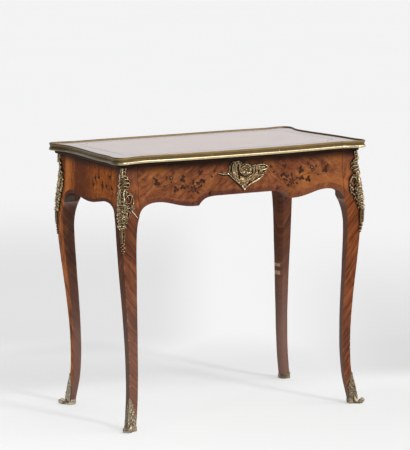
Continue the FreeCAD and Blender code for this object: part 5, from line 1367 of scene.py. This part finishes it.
# ------------------------------------------------------------------ shoes
def sabot_relief():
    r = Relief(-26.0, 26.0, 9.0, 92.0, 0.45)
    half = [(22.8, 10), (22.8, 18), (21.0, 26), (20.6, 33), (17.8, 41), (17.0, 49), (13.4, 57), (12.0, 64), (8.4, 71), (6.4, 78), (2.8, 85)]
    core = half + [(0, 89.8)] + [(-a, b) for a, b in half[::-1]]
    r.plate(spl(core + core[:1], 170), 1.0, 0.4)
    r.rocaille([(-20, 14), (20, 14), (17, 40), (12, 58), (5, 78), (0, 86), (-5, 78), (-12, 58), (-17, 40)], 41, 4.6, 1.9, 0.75, 3.6)
    r.stroke([(0, 12), (0, 40), (0, 70), (0, 87)], [1.5, 1.5, 1.1, 0.6], [4.4, 4.6, 4.0, 2.4], n=40)
    for i in range(9):
        r.boss((0.0, 16.0 + 7.6 * i), 1.9 - 0.09 * i, 5.4 - 0.18 * i)
    for q in (1, -1):
        r.leaf((q * 3, 16), (q * 20.0, 46.0), -q * 3.4, 4.2, 4.2, 5)
        r.leaf((q * 2, 33), (q * 16.0, 61.5), -q * 2.8, 3.8, 4.2, 5)
        r.leaf((q * 1.4, 50), (q * 10.6, 75.0), -q * 1.8, 3.0, 3.8, 4)
        r.leaf((q * 1.0, 66), (q * 5.6, 84.0), -q * 1.0, 2.0, 3.2, 3)
        r.leaf((q * 7, 11), (q * 22.4, 29.0), -q * 3.0, 3.8, 4.0, 4)
        r.volute((q * 12.0, 19.0), 4.8, 1.3, 90, q * 1.2, [1.2, 0.9], [4.8, 4.4], "round", 1.4, 5.0)
        for c in ((18.9, 20.5), (15.2, 33.0), (6.2, 30.0), (5.0, 47.0), (12.0, 27.0), (3.4, 64.0)):
            r.cut((q * c[0], c[1]), 0.9, 1.2, 0.0, 0.4)
    r.worn(15, 0.35)
    return r


def build_sabots():
    relief = sabot_relief()
    # how much lighter each foot's bronze is made, shoe and leaf: surviving gilding, and on the back left foot painted
    # light
    foot_lightening = {"front_left": (0.09, 0.05), "front_right": (0.11, 0.01), "back_left": (0.23, 0.17), "back_right": (0.14, 0.05)}
    # collar round the foot: height, bronze outside the wood
    prof = [(0.0, 1.4), (0.7, 2.3), (2.2, 2.8), (4.0, 2.8), (5.6, 2.6), (7.2, 2.3), (8.6, 2.0), (10.0, 1.7), (11.2, 1.5), (12.2, 1.5), (13.0, 1.2),
            (13.6, 0.8), (14.0, 0.3), (14.0, -0.6)]
    for nm, qx, qy in CORNERS:
        verts, faces, cav = [], [], []

        def add(vs, fs, cv):
            k0 = len(verts)
            verts.extend(vs)
            faces.extend([tuple(k0 + i for i in f) for f in fs])
            cav.extend(cv)

        # collar rings with eased corners
        rings = []
        for z, t in prof:
            eo, ei = float(arris(z)) - t, float(inner(z)) + t * 0.8
            c8 = 0.32 * (ei - eo)
            poly = [(eo, eo), (ei, eo), (ei, ei - c8), (ei - c8 * 0.42, ei - c8 * 0.42), (ei - c8, ei), (eo, ei)]
            ring = []
            m = len(poly)
            for i in range(m):
                p0, p1, p2 = (np.array(poly[(i + d) % m]) for d in (-1, 0, 1))
                e = 1.3
                a, b = p1 + (p0 - p1) / np.linalg.norm(p0 - p1) * e, p1 + (p2 - p1) / np.linalg.norm(p2 - p1) * e
                for f in np.linspace(0, 1, 6):
                    ring.append((1 - f) ** 2 * a + 2 * f * (1 - f) * p1 + f * f * b)
            rings.append([(qx * (HALF_W - u), qy * (HALF_D - v), z) for u, v in ring])
        m = len(rings[0])
        vs = [p for ring in rings for p in ring]
        fs = []
        for r in range(len(rings) - 1):
            for s in range(m):
                t2 = (s + 1) % m
                fs.append((r * m + s, r * m + t2, (r + 1) * m + t2, (r + 1) * m + s))
        fs.append(tuple(range(m))[::-1])
        if qx * qy < 0:
            fs = [f[::-1] for f in fs]
        shade = [0.26, 0.38, 0.48, 0.50, 0.46, 0.42, 0.38, 0.36, 0.40, 0.46, 0.44, 0.36, 0.30, 0.2]
        # place in the ring: corner 0 is the arris, corners 2 to 4 are on the inside
        turned_in = [0.0 if j // 6 in (0, 1, 5) else {"back_left": 0.05, "back_right": 0.40}.get(nm, 0.38) for j in range(m)]
        add(vs, fs[::1], [shade[r] * (1 - turned_in[j]) for r in range(len(rings)) for j in range(m)])

        o0 = float(arris(0.0))
        w2 = 1 / math.sqrt(2)

        def diag(al, ac, z):
            return (qx * (HALF_W - (o0 - al * w2 + ac * w2)), qy * (HALF_D - (o0 - al * w2 - ac * w2)), z)

        # tongue: from the leaf on the arris down to the scroll
        na, nc = 26, 29
        vs, cv = [], []
        for i in range(na):
            f = i / (na - 1)
            al = -6.0 + f * (TOE_OUT + 4.5)
            top = 25.0 * (1 - f) ** 1.9 + 12.6 * f ** 1.2 - 2.4 * math.sin(math.pi * f)
            hw = 12.5 - 3.4 * math.sin(math.pi * 0.5 * f)
            for j in range(nc):
                c = j / (nc - 1) * 2 - 1
                drop = abs(c) ** 2.6
                rib = 0.9 * math.exp(-(c / 0.10) ** 2) + 0.45 * math.cos(c * math.pi * 4.0) * (1 - abs(c)) * (1 - 0.5 * f)
                z = max(0.0, (top + rib) * (1 - drop) ** 0.55) if abs(c) < 1 else 0.0
                vs.append(diag(al, c * hw, z))
                cv.append(min(1.0, max(0.05, 0.46 + rib * 0.26 - 0.10 * drop)))
        fs = [(i * nc + j, (i + 1) * nc + j, (i + 1) * nc + j + 1, i * nc + j + 1) for i in range(na - 1) for j in range(nc - 1)]
        if qx * qy > 0:
            fs = [f[::-1] for f in fs]
        add(vs, fs, cv)

        # scroll: a barrel lying across the diagonal, lobed, with spiral ends
        nt, nw = 48, 33
        vs, cv = [], []
        for j in range(nw):
            c = j / (nw - 1) * 2 - 1
            hw = 9.4 * math.sin(c * math.pi / 2)
            edge = abs(math.sin(c * math.pi / 2))
            ease = math.sqrt(max(0.0, 1 - max(0.0, (edge - 0.86) / 0.14) ** 2))
            waist = 1.0 - 0.13 * (1 - edge ** 2) ** 2
            for i in range(nt):
                a = 2 * math.pi * i / nt
                lobe = 0.28 * math.cos(hw * 1.45) * ease
                rad = max(0.15, (TOE_R - 0.45) * waist * (0.80 + 0.20 * ease) + lobe - 0.25) * (1.0 if edge < 0.995 else 0.93)
                vs.append(diag(TOE_OUT + rad * math.cos(a), hw, max(0.0, TOE_R + rad * math.sin(a) * 0.985)))
                cv.append(0.47 + 0.35 * lobe / 0.28 * 0.4 - 0.14 * (1 - ease))
        fs = [(j * nt + i, j * nt + (i + 1) % nt, (j + 1) * nt + (i + 1) % nt, (j + 1) * nt + i) for j in range(nw - 1) for i in range(nt)]
        if qx * qy > 0:
            fs = [f[::-1] for f in fs]
        add(vs, fs, cv)
        for q in (-1, 1):                       # ends: spiral ridge running in to an eye
            nr = 16
            vs, cv = [], []
            for k in range(nr):
                rr = (TOE_R - 1.9) * (1 - k / (nr - 1)) + 0.02
                for i in range(nt):
                    a = 2 * math.pi * i / nt
                    ph = (rr / (TOE_R - 1.9)) * 2.2 * 2 * math.pi - q * a * (1 if qx * qy > 0 else -1)
                    eye = 1.6 * math.sqrt(max(0.0, 1 - (rr / 2.0) ** 2)) if rr < 2.0 else 0.0
                    rid = 0.55 * (0.5 + 0.5 * math.cos(ph)) * min(1.0, rr / 2.0)
                    vs.append(diag(TOE_OUT + rr * math.cos(a), q * (9.0 + max(eye, rid) - 0.15), TOE_R + rr * math.sin(a)))
                    cv.append(0.22 + 0.42 * max(eye / 1.6, rid / 0.55))
            fs = [(k * nt + i, k * nt + (i + 1) % nt, (k + 1) * nt + (i + 1) % nt, (k + 1) * nt + i) for k in range(nr - 1) for i in range(nt)]
            if (q > 0) != (qx * qy > 0):
                fs = [f[::-1] for f in fs]
            add(vs, fs, cv)
        shoe = mesh_object("sabot_shoe_" + nm, np.array(verts) * MM, faces, BRONZE, "frame",
                           attrs={"cav": np.clip(np.array(cav) + foot_lightening[nm][0], 0.0, 1.0)})
        # spread of the side face, relief contrast and added lightness of the leaf; on the back left foot the added
        # lightness is painted light
        wide, deep, more = {"back_left": (1.22, 0.70, 0.04), "front_left": (1.0, 0.20, 0.035)}.get(nm, (1.0, 0.26, 0.0))
        relief.build("sabot_leaf_" + nm, leg_place(qx, qy, 3.5, wide), "frame", "gilt_bronze", deep=deep, lift=foot_lightening[nm][1] + more)
        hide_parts("sabot_" + nm)
    dome_heads("sabot_pin_heads", [(leg_place(qx, qy, 3.5), a, b, max(1.0, relief.height(a, b)) - 0.3, 1.3) for _, qx, qy in CORNERS for a, b in ((13.0, 24.0), (-13.0, 21.0))],
               "frame", "sabot_pins")


build_sabots()


# ------------------------------------------------------------------ marquetry and bandings let into the veneer
def tree(node):
    me = N[node].data
    return BVHTree.FromPolygons([v.co[:] for v in me.vertices], [p.vertices[:] for p in me.polygons])


def on_face(bvh, axis, sign):
    """Returns a function that drops (t, z) in millimetres onto the outside of a node."""
    def drop(t, z, lift):
        if axis == 1:
            hit = bvh.ray_cast(Vector((t * MM, sign * 0.5, z * MM)), Vector((0, -sign, 0)))
        else:
            hit = bvh.ray_cast(Vector((sign * 0.6, t * MM, z * MM)), Vector((-sign, 0, 0)))
        if hit[0] is None:
            base = front_y(t, z) if axis == 1 else side_x(t, z)
            p = (t * MM, sign * float(base) * MM, z * MM) if axis == 1 else (sign * float(base) * MM, t * MM, z * MM)
            n = (0, sign, 0) if axis == 1 else (sign, 0, 0)
        else:
            p, n = hit[0], hit[1]
        return [p[i] + n[i] * lift * MM for i in range(3)]
    return drop


class Inlay:
    """Many small flat pieces of one wood, following a face of the table."""

    def __init__(self, drop, flip, lift=0.16):
        self.drop, self.flip, self.lift = drop, flip, lift
        self.v, self.f = [], []

    def poly(self, pts, lift=None):
        """A star-shaped piece, as a fan about its middle with a skirt."""
        lf = self.lift if lift is None else lift
        p = np.asarray(pts, float)
        c = p.mean(0)
        k0, n = len(self.v), len(p)
        self.v.append(self.drop(c[0], c[1], lf))
        for q in p:
            self.v.append(self.drop(q[0], q[1], lf))
        for q in p:
            self.v.append(self.drop(q[0], q[1], -0.25))
        for i in range(n):
            j = (i + 1) % n
            self.f.append((k0, k0 + 1 + i, k0 + 1 + j))
            self.f.append((k0 + 1 + i, k0 + 1 + n + i, k0 + 1 + n + j, k0 + 1 + j))

    def strip(self, pts, width, n=30, lift=None):
        lf = self.lift if lift is None else lift
        c = spl(pts, n)
        t = np.gradient(c, axis=0)
        t /= np.linalg.norm(t, axis=1)[:, None] + 1e-9
        nn = np.stack([-t[:, 1], t[:, 0]], 1)
        w = along_values(width, np.linspace(0, 1, n))[:, None]
        k0 = len(self.v)
        for a, b in zip(c + nn * w / 2, c - nn * w / 2):
            self.v.append(self.drop(a[0], a[1], lf))
            self.v.append(self.drop(b[0], b[1], lf))
        for i in range(n - 1):
            self.f.append((k0 + 2 * i, k0 + 2 * i + 1, k0 + 2 * i + 3, k0 + 2 * i + 2))

    def leaf(self, at, angle, length, width, bend=0.12, vein=0.42):
        """A pointed leaf in two halves, with the ground showing along its vein."""
        a = math.radians(angle)
        d, q = np.array([math.cos(a), math.sin(a)]), np.array([-math.sin(a), math.cos(a)])
        t = np.linspace(0, 1, 11)
        mid = np.array(at)[None] + d[None] * (t[:, None] * length) + q[None] * (np.sin(math.pi * t) * bend * length)[:, None]
        hw = width / 2 * np.sin(math.pi * t ** 0.8) ** 0.85
        for s in (1, -1):
            gap = np.minimum(hw, vein / 2 * (1 - 0.6 * t))
            outer = mid + q[None] * (s * hw)[:, None]
            inner_ = mid + q[None] * (s * gap * 0.9)[:, None]
            self.poly(np.vstack([inner_, outer[::-1][1:-1]]))

    def petal_ring(self, at, r0, r1, count, turn=0.0, width=0.9):
        for i in range(count):
            a = math.radians(turn) + 2 * math.pi * i / count
            d, q = np.array([math.cos(a), math.sin(a)]), np.array([-math.sin(a), math.cos(a)])
            t = np.linspace(0, 2 * math.pi, 13)[:-1]
            m, l, w = (r0 + r1) / 2, (r1 - r0) / 2, (r1 - r0) / 2 * width
            self.poly([np.array(at) + d * (m + l * math.cos(b)) + q * (w * math.sin(b) * (1 + 0.25 * math.cos(b))) for b in t])

    def disc(self, at, r):
        t = np.linspace(0, 2 * math.pi, 15)[:-1]
        self.poly([(at[0] + r * math.cos(b), at[1] + r * math.sin(b)) for b in t])

    def make(self, name, material, body, slot="kingwood_veneer"):
        f = [q[::-1] for q in self.f] if self.flip else self.f
        return mesh_object(name, np.array(self.v), f, material, body, smooth=False)


def spray(drop, flip, sx, name, body):
    """One flowering branch between the cartouche and the corner; sx mirrors it."""
    X = lambda p: (sx * p[0], p[1])
    ang = lambda a: a if sx > 0 else 180.0 - a
    ink, stems, grey, pale = (Inlay(drop, flip, l) for l in (0.17, 0.19, 0.21, 0.15))

    def leaf(x, z, a, l, w, bend=0.12):
        ink.leaf(X((x, z)), ang(a), l * 1.15, w * 1.42, bend * sx, 0.22)

    def trefoil(x, z, r, turn=90.0):
        for i, l in ((0, 1.15), (1, 1.0), (2, 0.9)):
            leaf(x, z, turn + 120.0 * i + 14.0 * math.sin(x + 3 * i), r * l * 1.30, r * 0.92)

    def stem(pts, w=0.65):
        stems.strip([X(p) for p in pts], [1.6 * q for q in w] if isinstance(w, list) else 1.6 * w, 40)

    # stems, fine and faint
    stem([(86, 682), (98, 673), (112, 664), (128, 656), (142, 648), (150, 640)], [0.5, 0.8, 0.9])
    stem([(150, 640), (164, 645), (180, 652), (198, 657), (214, 658), (230, 655), (244, 653), (256, 655), (266, 662), (269, 673), (264, 682), (254, 686), (246, 682), (246, 676)],
         [0.9, 0.8, 0.7, 0.6])
    stem([(100, 677), (112, 676), (126, 678), (138, 681)])
    stem([(198, 657), (207, 662), (213, 669)])
    stem([(180, 652), (190, 646), (202, 641)])
    stem([(128, 656), (134, 668), (131, 680)])
    stem([(164, 645), (174, 656), (180, 667)])
    # leaves and small three-leaved sprigs
    trefoil(256, 665, 7.6, 70.0)
    leaf(262, 675, 20, 6.5, 3.8)
    trefoil(180, 668.5, 7.2, 100.0)
    trefoil(202, 641.5, 6.8, 60.0)
    trefoil(181, 646.5, 6.2, 200.0)
    leaf(228, 672, 80, 7.5, 4.2)
    leaf(232, 656, 290, 6.5, 3.8)
    leaf(116, 653, 42, 17.0, 5.4)
    leaf(131, 650, 30, 13.0, 5.4)
    leaf(124, 650, 300, 8.0, 4.2)
    leaf(132, 655, 120, 9.0, 4.8)
    leaf(118, 664, 250, 8.0, 4.4)
    trefoil(129, 683, 5.6, 150.0)
    leaf(88, 680, 110, 8.5, 4.6)
    leaf(97, 672, 210, 7.0, 4.0)
    # main flower: dark petals round a small grey heart, a tall petal above it
    ink.petal_ring(X((150, 640)), 2.6, 10.6, 6, 14.0, 0.62)
    stems.petal_ring(X((150, 640)), 0.6, 3.2, 5, 40.0, 0.75)
    ink.leaf(X((151.5, 651)), ang(96), 16.0, 7.0, 0.05 * sx, 0.3)
    leaf(141, 634, 215, 9.0, 4.6)
    leaf(160, 635, 330, 9.0, 4.6)
    leaf(138, 644, 170, 8.0, 4.2)
    leaf(163, 646, 20, 8.0, 4.2)
    # small flower on its own stem
    ink.petal_ring(X((214.5, 674)), 1.6, 6.9, 6, 18.0, 0.66)
    grey.petal_ring(X((214.5, 674)), 0.2, 2.6, 5, 40.0, 0.8)
    leaf(214.5, 666, 262, 6.0, 3.2)
    pale.strip([X(p) for p in ((148.4, 653), (149.6, 660), (152, 665))], 0.4, 20)
    for n, item, mat in (("ink", ink, INK), ("stem", stems, STEM), ("grey", grey, GREY), ("pale", pale, PALE)):
        item.make(name + "_" + n, mat, body)


drop_front = on_face(tree("drawer_front"), 1, -1)
drop_back = on_face(tree("back_apron"), 1, 1)
drop_left = on_face(tree("side_apron_left"), 0, -1)
drop_right = on_face(tree("side_apron_right"), 0, 1)

spray(drop_front, False, -1, "spray_front_left", "drawer")
spray(drop_front, True, 1, "spray_front_right", "drawer")
spray(drop_back, True, -1, "spray_back_right", "frame")
spray(drop_back, False, 1, "spray_back_left", "frame")


def side_spray(drop, flip, name):
    """Scattered sprigs in the front half of the side aprons."""
    ink, stems = Inlay(drop, flip, 0.17), Inlay(drop, flip, 0.13)

    def trefoil(y, z, r, turn):
        for i, l in ((0, 1.15), (1, 1.0), (2, 0.9)):
            ink.leaf((y, z), turn + 120.0 * i + 14.0 * math.sin(y + 3 * i), r * l * 1.32, r * 0.98, 0.12, 0.25)

    for pts in (((-20, 642), (-34, 650), (-52, 655), (-70, 652), (-86, 648), (-104, 651), (-120, 662), (-130, 676)), ((-52, 655), (-56, 664), (-58, 673)),
                ((-34, 650), (-36, 659), (-37, 667)), ((-86, 648), (-104, 643), (-122, 643), (-139, 648.5))):
        stems.strip(pts, [0.8, 0.7, 0.5], 40)
    for y, z, r, turn in ((-37, 667, 6.6, 100), (-58, 673, 6.8, 60), (-128, 677, 6.4, 130), (-81, 653, 7.0, 80), (-139, 648.5, 6.4, 200), (-82, 643.0, 6.2, 270), (-25, 647, 6.6, 30),
                          (-106, 650, 5.4, 100)):
        trefoil(y, z, r, turn)
    ink.make(name + "_ink", INK, "frame")
    stems.make(name + "_stem", STEM, "frame")


side_spray(drop_left, True, "spray_side_left")
side_spray(drop_right, False, "spray_side_right")


def edge_band(drop, flip, half, name, body, width, seen=((0.0, 1.0), (0.85, 0.85))):
    """Crossbanding along a shaped lower edge."""
    c = np.vstack([np.asarray(half), np.asarray([(-a, b) for a, b in half])[::-1][1:] if half[-1][0] == 0 else np.asarray([(-a, b) for a, b in half])[::-1]])
    c = spl(c, 420)
    t = np.gradient(c, axis=0)
    t /= np.linalg.norm(t, axis=1)[:, None] + 1e-9
    nn = np.stack([t[:, 1], -t[:, 0]], 1)
    if nn[len(nn) // 2][1] < 0:
        nn = -nn
    s = np.concatenate([[0], np.cumsum(np.linalg.norm(np.diff(c, axis=0), axis=1))])
    lim = abs(half[0][0]) - 0.6
    rows = [0.35, 1.2, 3.5] + [3.5 + (width - 3.5) * i / 5 for i in range(1, 6)]
    verts, faces, run = [], [], []
    m = len(rows)
    for i in range(len(c)):
        for w in rows:
            p = c[i] + nn[i] * w
            p[0] = min(lim, max(-lim, p[0]))
            verts.append(drop(p[0], p[1], 0.14))
            run.append((s[i] * MM, w * MM, float(np.interp(p[0], seen[0], seen[1]))))
    for i in range(len(c) - 1):
        for k in range(m - 1):
            faces.append((i * m + k, (i + 1) * m + k, (i + 1) * m + k + 1, i * m + k + 1))
    if flip:
        faces = [f[::-1] for f in faces]
    mesh_object(name + "_band", np.array(verts), faces, BAND, body, vec_attrs={"run": run})


FRONT_HALF = [(311.0, 582.5)] + FRONT_EDGE[1:-1] + FRONT_STEP
edge_band(drop_front, True, FRONT_HALF, "edge_front", "drawer", 16.5, ((-310.0, -250.0, -215.0, -60.0, 10.0, 70.0, 130.0, 180.0), (0.45, 0.60, 1.0, 1.0, 0.85, 0.60, 0.45, 0.20)))
edge_band(drop_back, False, FRONT_HALF, "edge_back", "frame", 16.5)
edge_band(drop_left, False, [(164.6, 582.0)] + SIDE_EDGE[1:], "edge_left", "frame", 9.0)
edge_band(drop_right, True, [(164.6, 582.0)] + SIDE_EDGE[1:], "edge_right", "frame", 9.0)


def mount_ground():
    """Painted shadow as a dark strip under the keyhole mount's lower edge, and fine joints in the veneer beside it."""
    shadow_line, joint = Inlay(drop_front, False, 0.12), Inlay(drop_front, False, 0.12)
    shadow_line.strip([(-76.5, 675.8), (-66, 671.8), (-54, 670.0), (-46.4, 670.6), (-40, 665.0), (-31.2, 656.2), (-21.2, 647.8), (-15.2, 640.4), (-9.4, 633.6), (-5.4, 627.6)],
              [0.6, 2.4, 3.0, 3.0, 2.8, 3.0, 3.0, 2.8, 2.0], 90)
    shadow_line.strip([(5.0, 627.4), (9.0, 631.2), (14.5, 635.4)], [1.6, 3.6, 0.8], 24)
    shadow_line.make("mount_painted_shadow", INK, "drawer")
    joint.strip([(82, 665.6), (94, 650.6), (107, 634.6)], [0.9, 1.0, 0.7], 24)
    joint.strip([(-97.8, 640), (-70, 653.2), (-45, 665)], [0.7, 0.9, 0.7], 24)
    joint.make("veneer_joints_front", STEM, "drawer")


mount_ground()


# stringing between the field and the border of the top
def top_stringing():
    fa, fb, fr = HALF_W - 62.0, HALF_D - 60.0, 34.0
    pts = []
    for qx, qy, a0, a1 in ((1, -1, 180, 90), (1, 1, 270, 180), (-1, 1, 360, 270), (-1, -1, 90, 0)):
        for i in range(25):
            a = math.radians(a0 + (a1 - a0) * i / 24)
            pts.append((qx * fa + fr * math.cos(a), qy * fb + fr * math.sin(a)))
    p = np.array(pts)
    dense = []
    for i in range(len(p)):
        a, b = p[i], p[(i + 1) % len(p)]
        n = max(1, int(np.linalg.norm(b - a) / 12.0))
        for j in range(n):
            dense.append(a + (b - a) * j / n)
    p = np.array(dense)
    t = np.roll(p, -1, 0) - np.roll(p, 1, 0)
    t /= np.linalg.norm(t, axis=1)[:, None]
    nn = np.stack([t[:, 1], -t[:, 0]], 1)
    for name, lo, hi, mat, lift in (("top_string_pale", -0.5, 0.5, PALE, 0.06), ("top_string_dark_out", 0.5, 0.9, STEM, 0.05), ("top_string_dark_in", -0.9, -0.5, STEM, 0.05)):
        v, f = [], []
        n = len(p)
        for i in range(n):
            for w in (lo, hi):
                q = p[i] + nn[i] * w
                v.append((q[0], q[1], TOP_FACE + lift))
        for i in range(n):
            j = (i + 1) % n
            f.append((2 * i, 2 * i + 1, 2 * j + 1, 2 * j))
        mesh_object(name, np.array(v) * MM, f, mat, "frame", smooth=False)


top_stringing()

# ------------------------------------------------------------------ studio
def build_stage():
    """A wide round floor, finely divided near the object."""
    v, f = [(0.0, 0.0, 0.0)], []
    radii, seg = [0.8, 1.6, 3.0, 6.0, 12.0, 25.0, 60.0], 64
    for r in radii:
        for i in range(seg):
            a = 2 * math.pi * i / seg
            v.append((r * math.cos(a), r * math.sin(a), 0.0))
    for i in range(seg):
        f.append((0, 1 + i, 1 + (i + 1) % seg))
    for r in range(len(radii) - 1):
        for i in range(seg):
            j = (i + 1) % seg
            f.append((1 + r * seg + i, 1 + (r + 1) * seg + i, 1 + (r + 1) * seg + j, 1 + r * seg + j))
    me = bpy.data.meshes.new("studio_floor")
    me.from_pydata(v, [], f)
    me.update()
    me.materials.append(make_floor())
    o = bpy.data.objects.new("studio_floor", me)
    bpy.context.scene.collection.objects.link(o)


build_stage()


def area(name, loc, target, size, power, color=(1.0, 1.0, 1.0), size_y=None):
    li = bpy.data.lights.new(name, "AREA")
    li.energy = power
    li.color = color
    li.shape = "RECTANGLE"
    li.size = size
    li.size_y = size_y or size
    o = bpy.data.objects.new(name, li)
    o.location = loc
    o.rotation_euler = (Vector(target) - Vector(loc)).to_track_quat("-Z", "Y").to_euler()
    bpy.context.scene.collection.objects.link(o)
    return o


def sun(name, toward, strength, angle, color=(1.0, 1.0, 1.0)):
    """A very wide soft source a long way off, in the direction given."""
    li = bpy.data.lights.new(name, "SUN")
    li.energy = strength
    li.angle = math.radians(angle)
    li.color = color
    o = bpy.data.objects.new(name, li)
    o.location = Vector(toward) * 4.0
    o.rotation_euler = (-Vector(toward)).to_track_quat("-Z", "Y").to_euler()
    bpy.context.scene.collection.objects.link(o)
    return o


sun("key_wide", (0.52, -0.62, 0.80), 1.05, 60.0, (1.0, 0.985, 0.96))
sun("key_narrow", (0.29, -0.90, 0.86), 0.95, 6.5, (1.0, 0.985, 0.96))
sun("fill_narrow", (-0.90, -0.42, 0.86), 0.20, 6.0, (1.0, 0.99, 0.97))
sun("top_wide", (0.05, 0.05, 1.0), 0.5, 80.0, (1.0, 0.99, 0.98))
area("strip_right", (2.75, -1.12, 1.5), (0, 0, 0.5), 0.7, 9.0, (1.0, 0.985, 0.965), 1.6)
area("strip_front", (-0.5, -3.2, 2.6), (0, 0, 0.45), 0.8, 7.0, (1.0, 0.99, 0.97), 0.8)


def build_world():
    """Studio walls: bright to the right and behind, dark to the left and in front, pale along the horizon."""
    world = bpy.data.worlds.new("studio")
    bpy.context.scene.world = world
    world.use_nodes = True
    k = Mat.__new__(Mat)
    k.m, k.t = world, world.node_tree
    bg = k.t.nodes["Background"]
    x, y, z = k.split(k.t.nodes.new("ShaderNodeTexCoord").outputs["Generated"])
    s = k.add(k.mul(x, 0.8), k.mul(y, 0.25))
    side = k.band(s, -0.30, 0.50)
    high = k.add(k.add(0.08, k.mul(side, 0.70)), k.mul(k.band(z, 0.1, 0.9), 0.28))
    low = k.add(0.735, k.mul(side, 0.03))
    tone = k.add(k.mul(low, k.band(z, 0.09, 0.055)), k.mul(high, k.band(z, 0.055, 0.09)))
    k.put(bg.inputs[1], tone)
    bg.inputs[0].default_value = (0.97, 0.985, 1.0, 1.0)


build_world()

scene = bpy.context.scene
scene.view_settings.view_transform = "Standard"
scene.view_settings.look = "None"
scene.view_settings.exposure = 0.0

# ------------------------------------------------------------------ camera, fitted to the photograph
az, el, roll, dist = math.radians(-26.9101), math.radians(8.2072), math.radians(-0.9006), 6.72793
back = Vector((math.sin(az) * math.cos(el), -math.cos(az) * math.cos(el), math.sin(el)))
right = Vector((math.cos(az), math.sin(az), 0.0))
up = back.cross(right)
r2 = right * math.cos(roll) + up * math.sin(roll)
u2 = up * math.cos(roll) - right * math.sin(roll)
cam_data = bpy.data.cameras.new("camera")
cam = bpy.data.objects.new("camera", cam_data)
scene.collection.objects.link(cam)
loc = Vector((-0.009769, 0.0, 0.506477)) + back * dist
m = Matrix((r2, u2, back)).transposed().to_4x4()
m.translation = loc
cam.matrix_world = m
cam_data.sensor_width = 36.0
cam_data.sensor_fit = "AUTO"
cam_data.lens = 2421.63 * 36.0 / 450.0
cam_data.clip_end = 60.0
scene.camera = cam

bpy.context.view_layer.update()
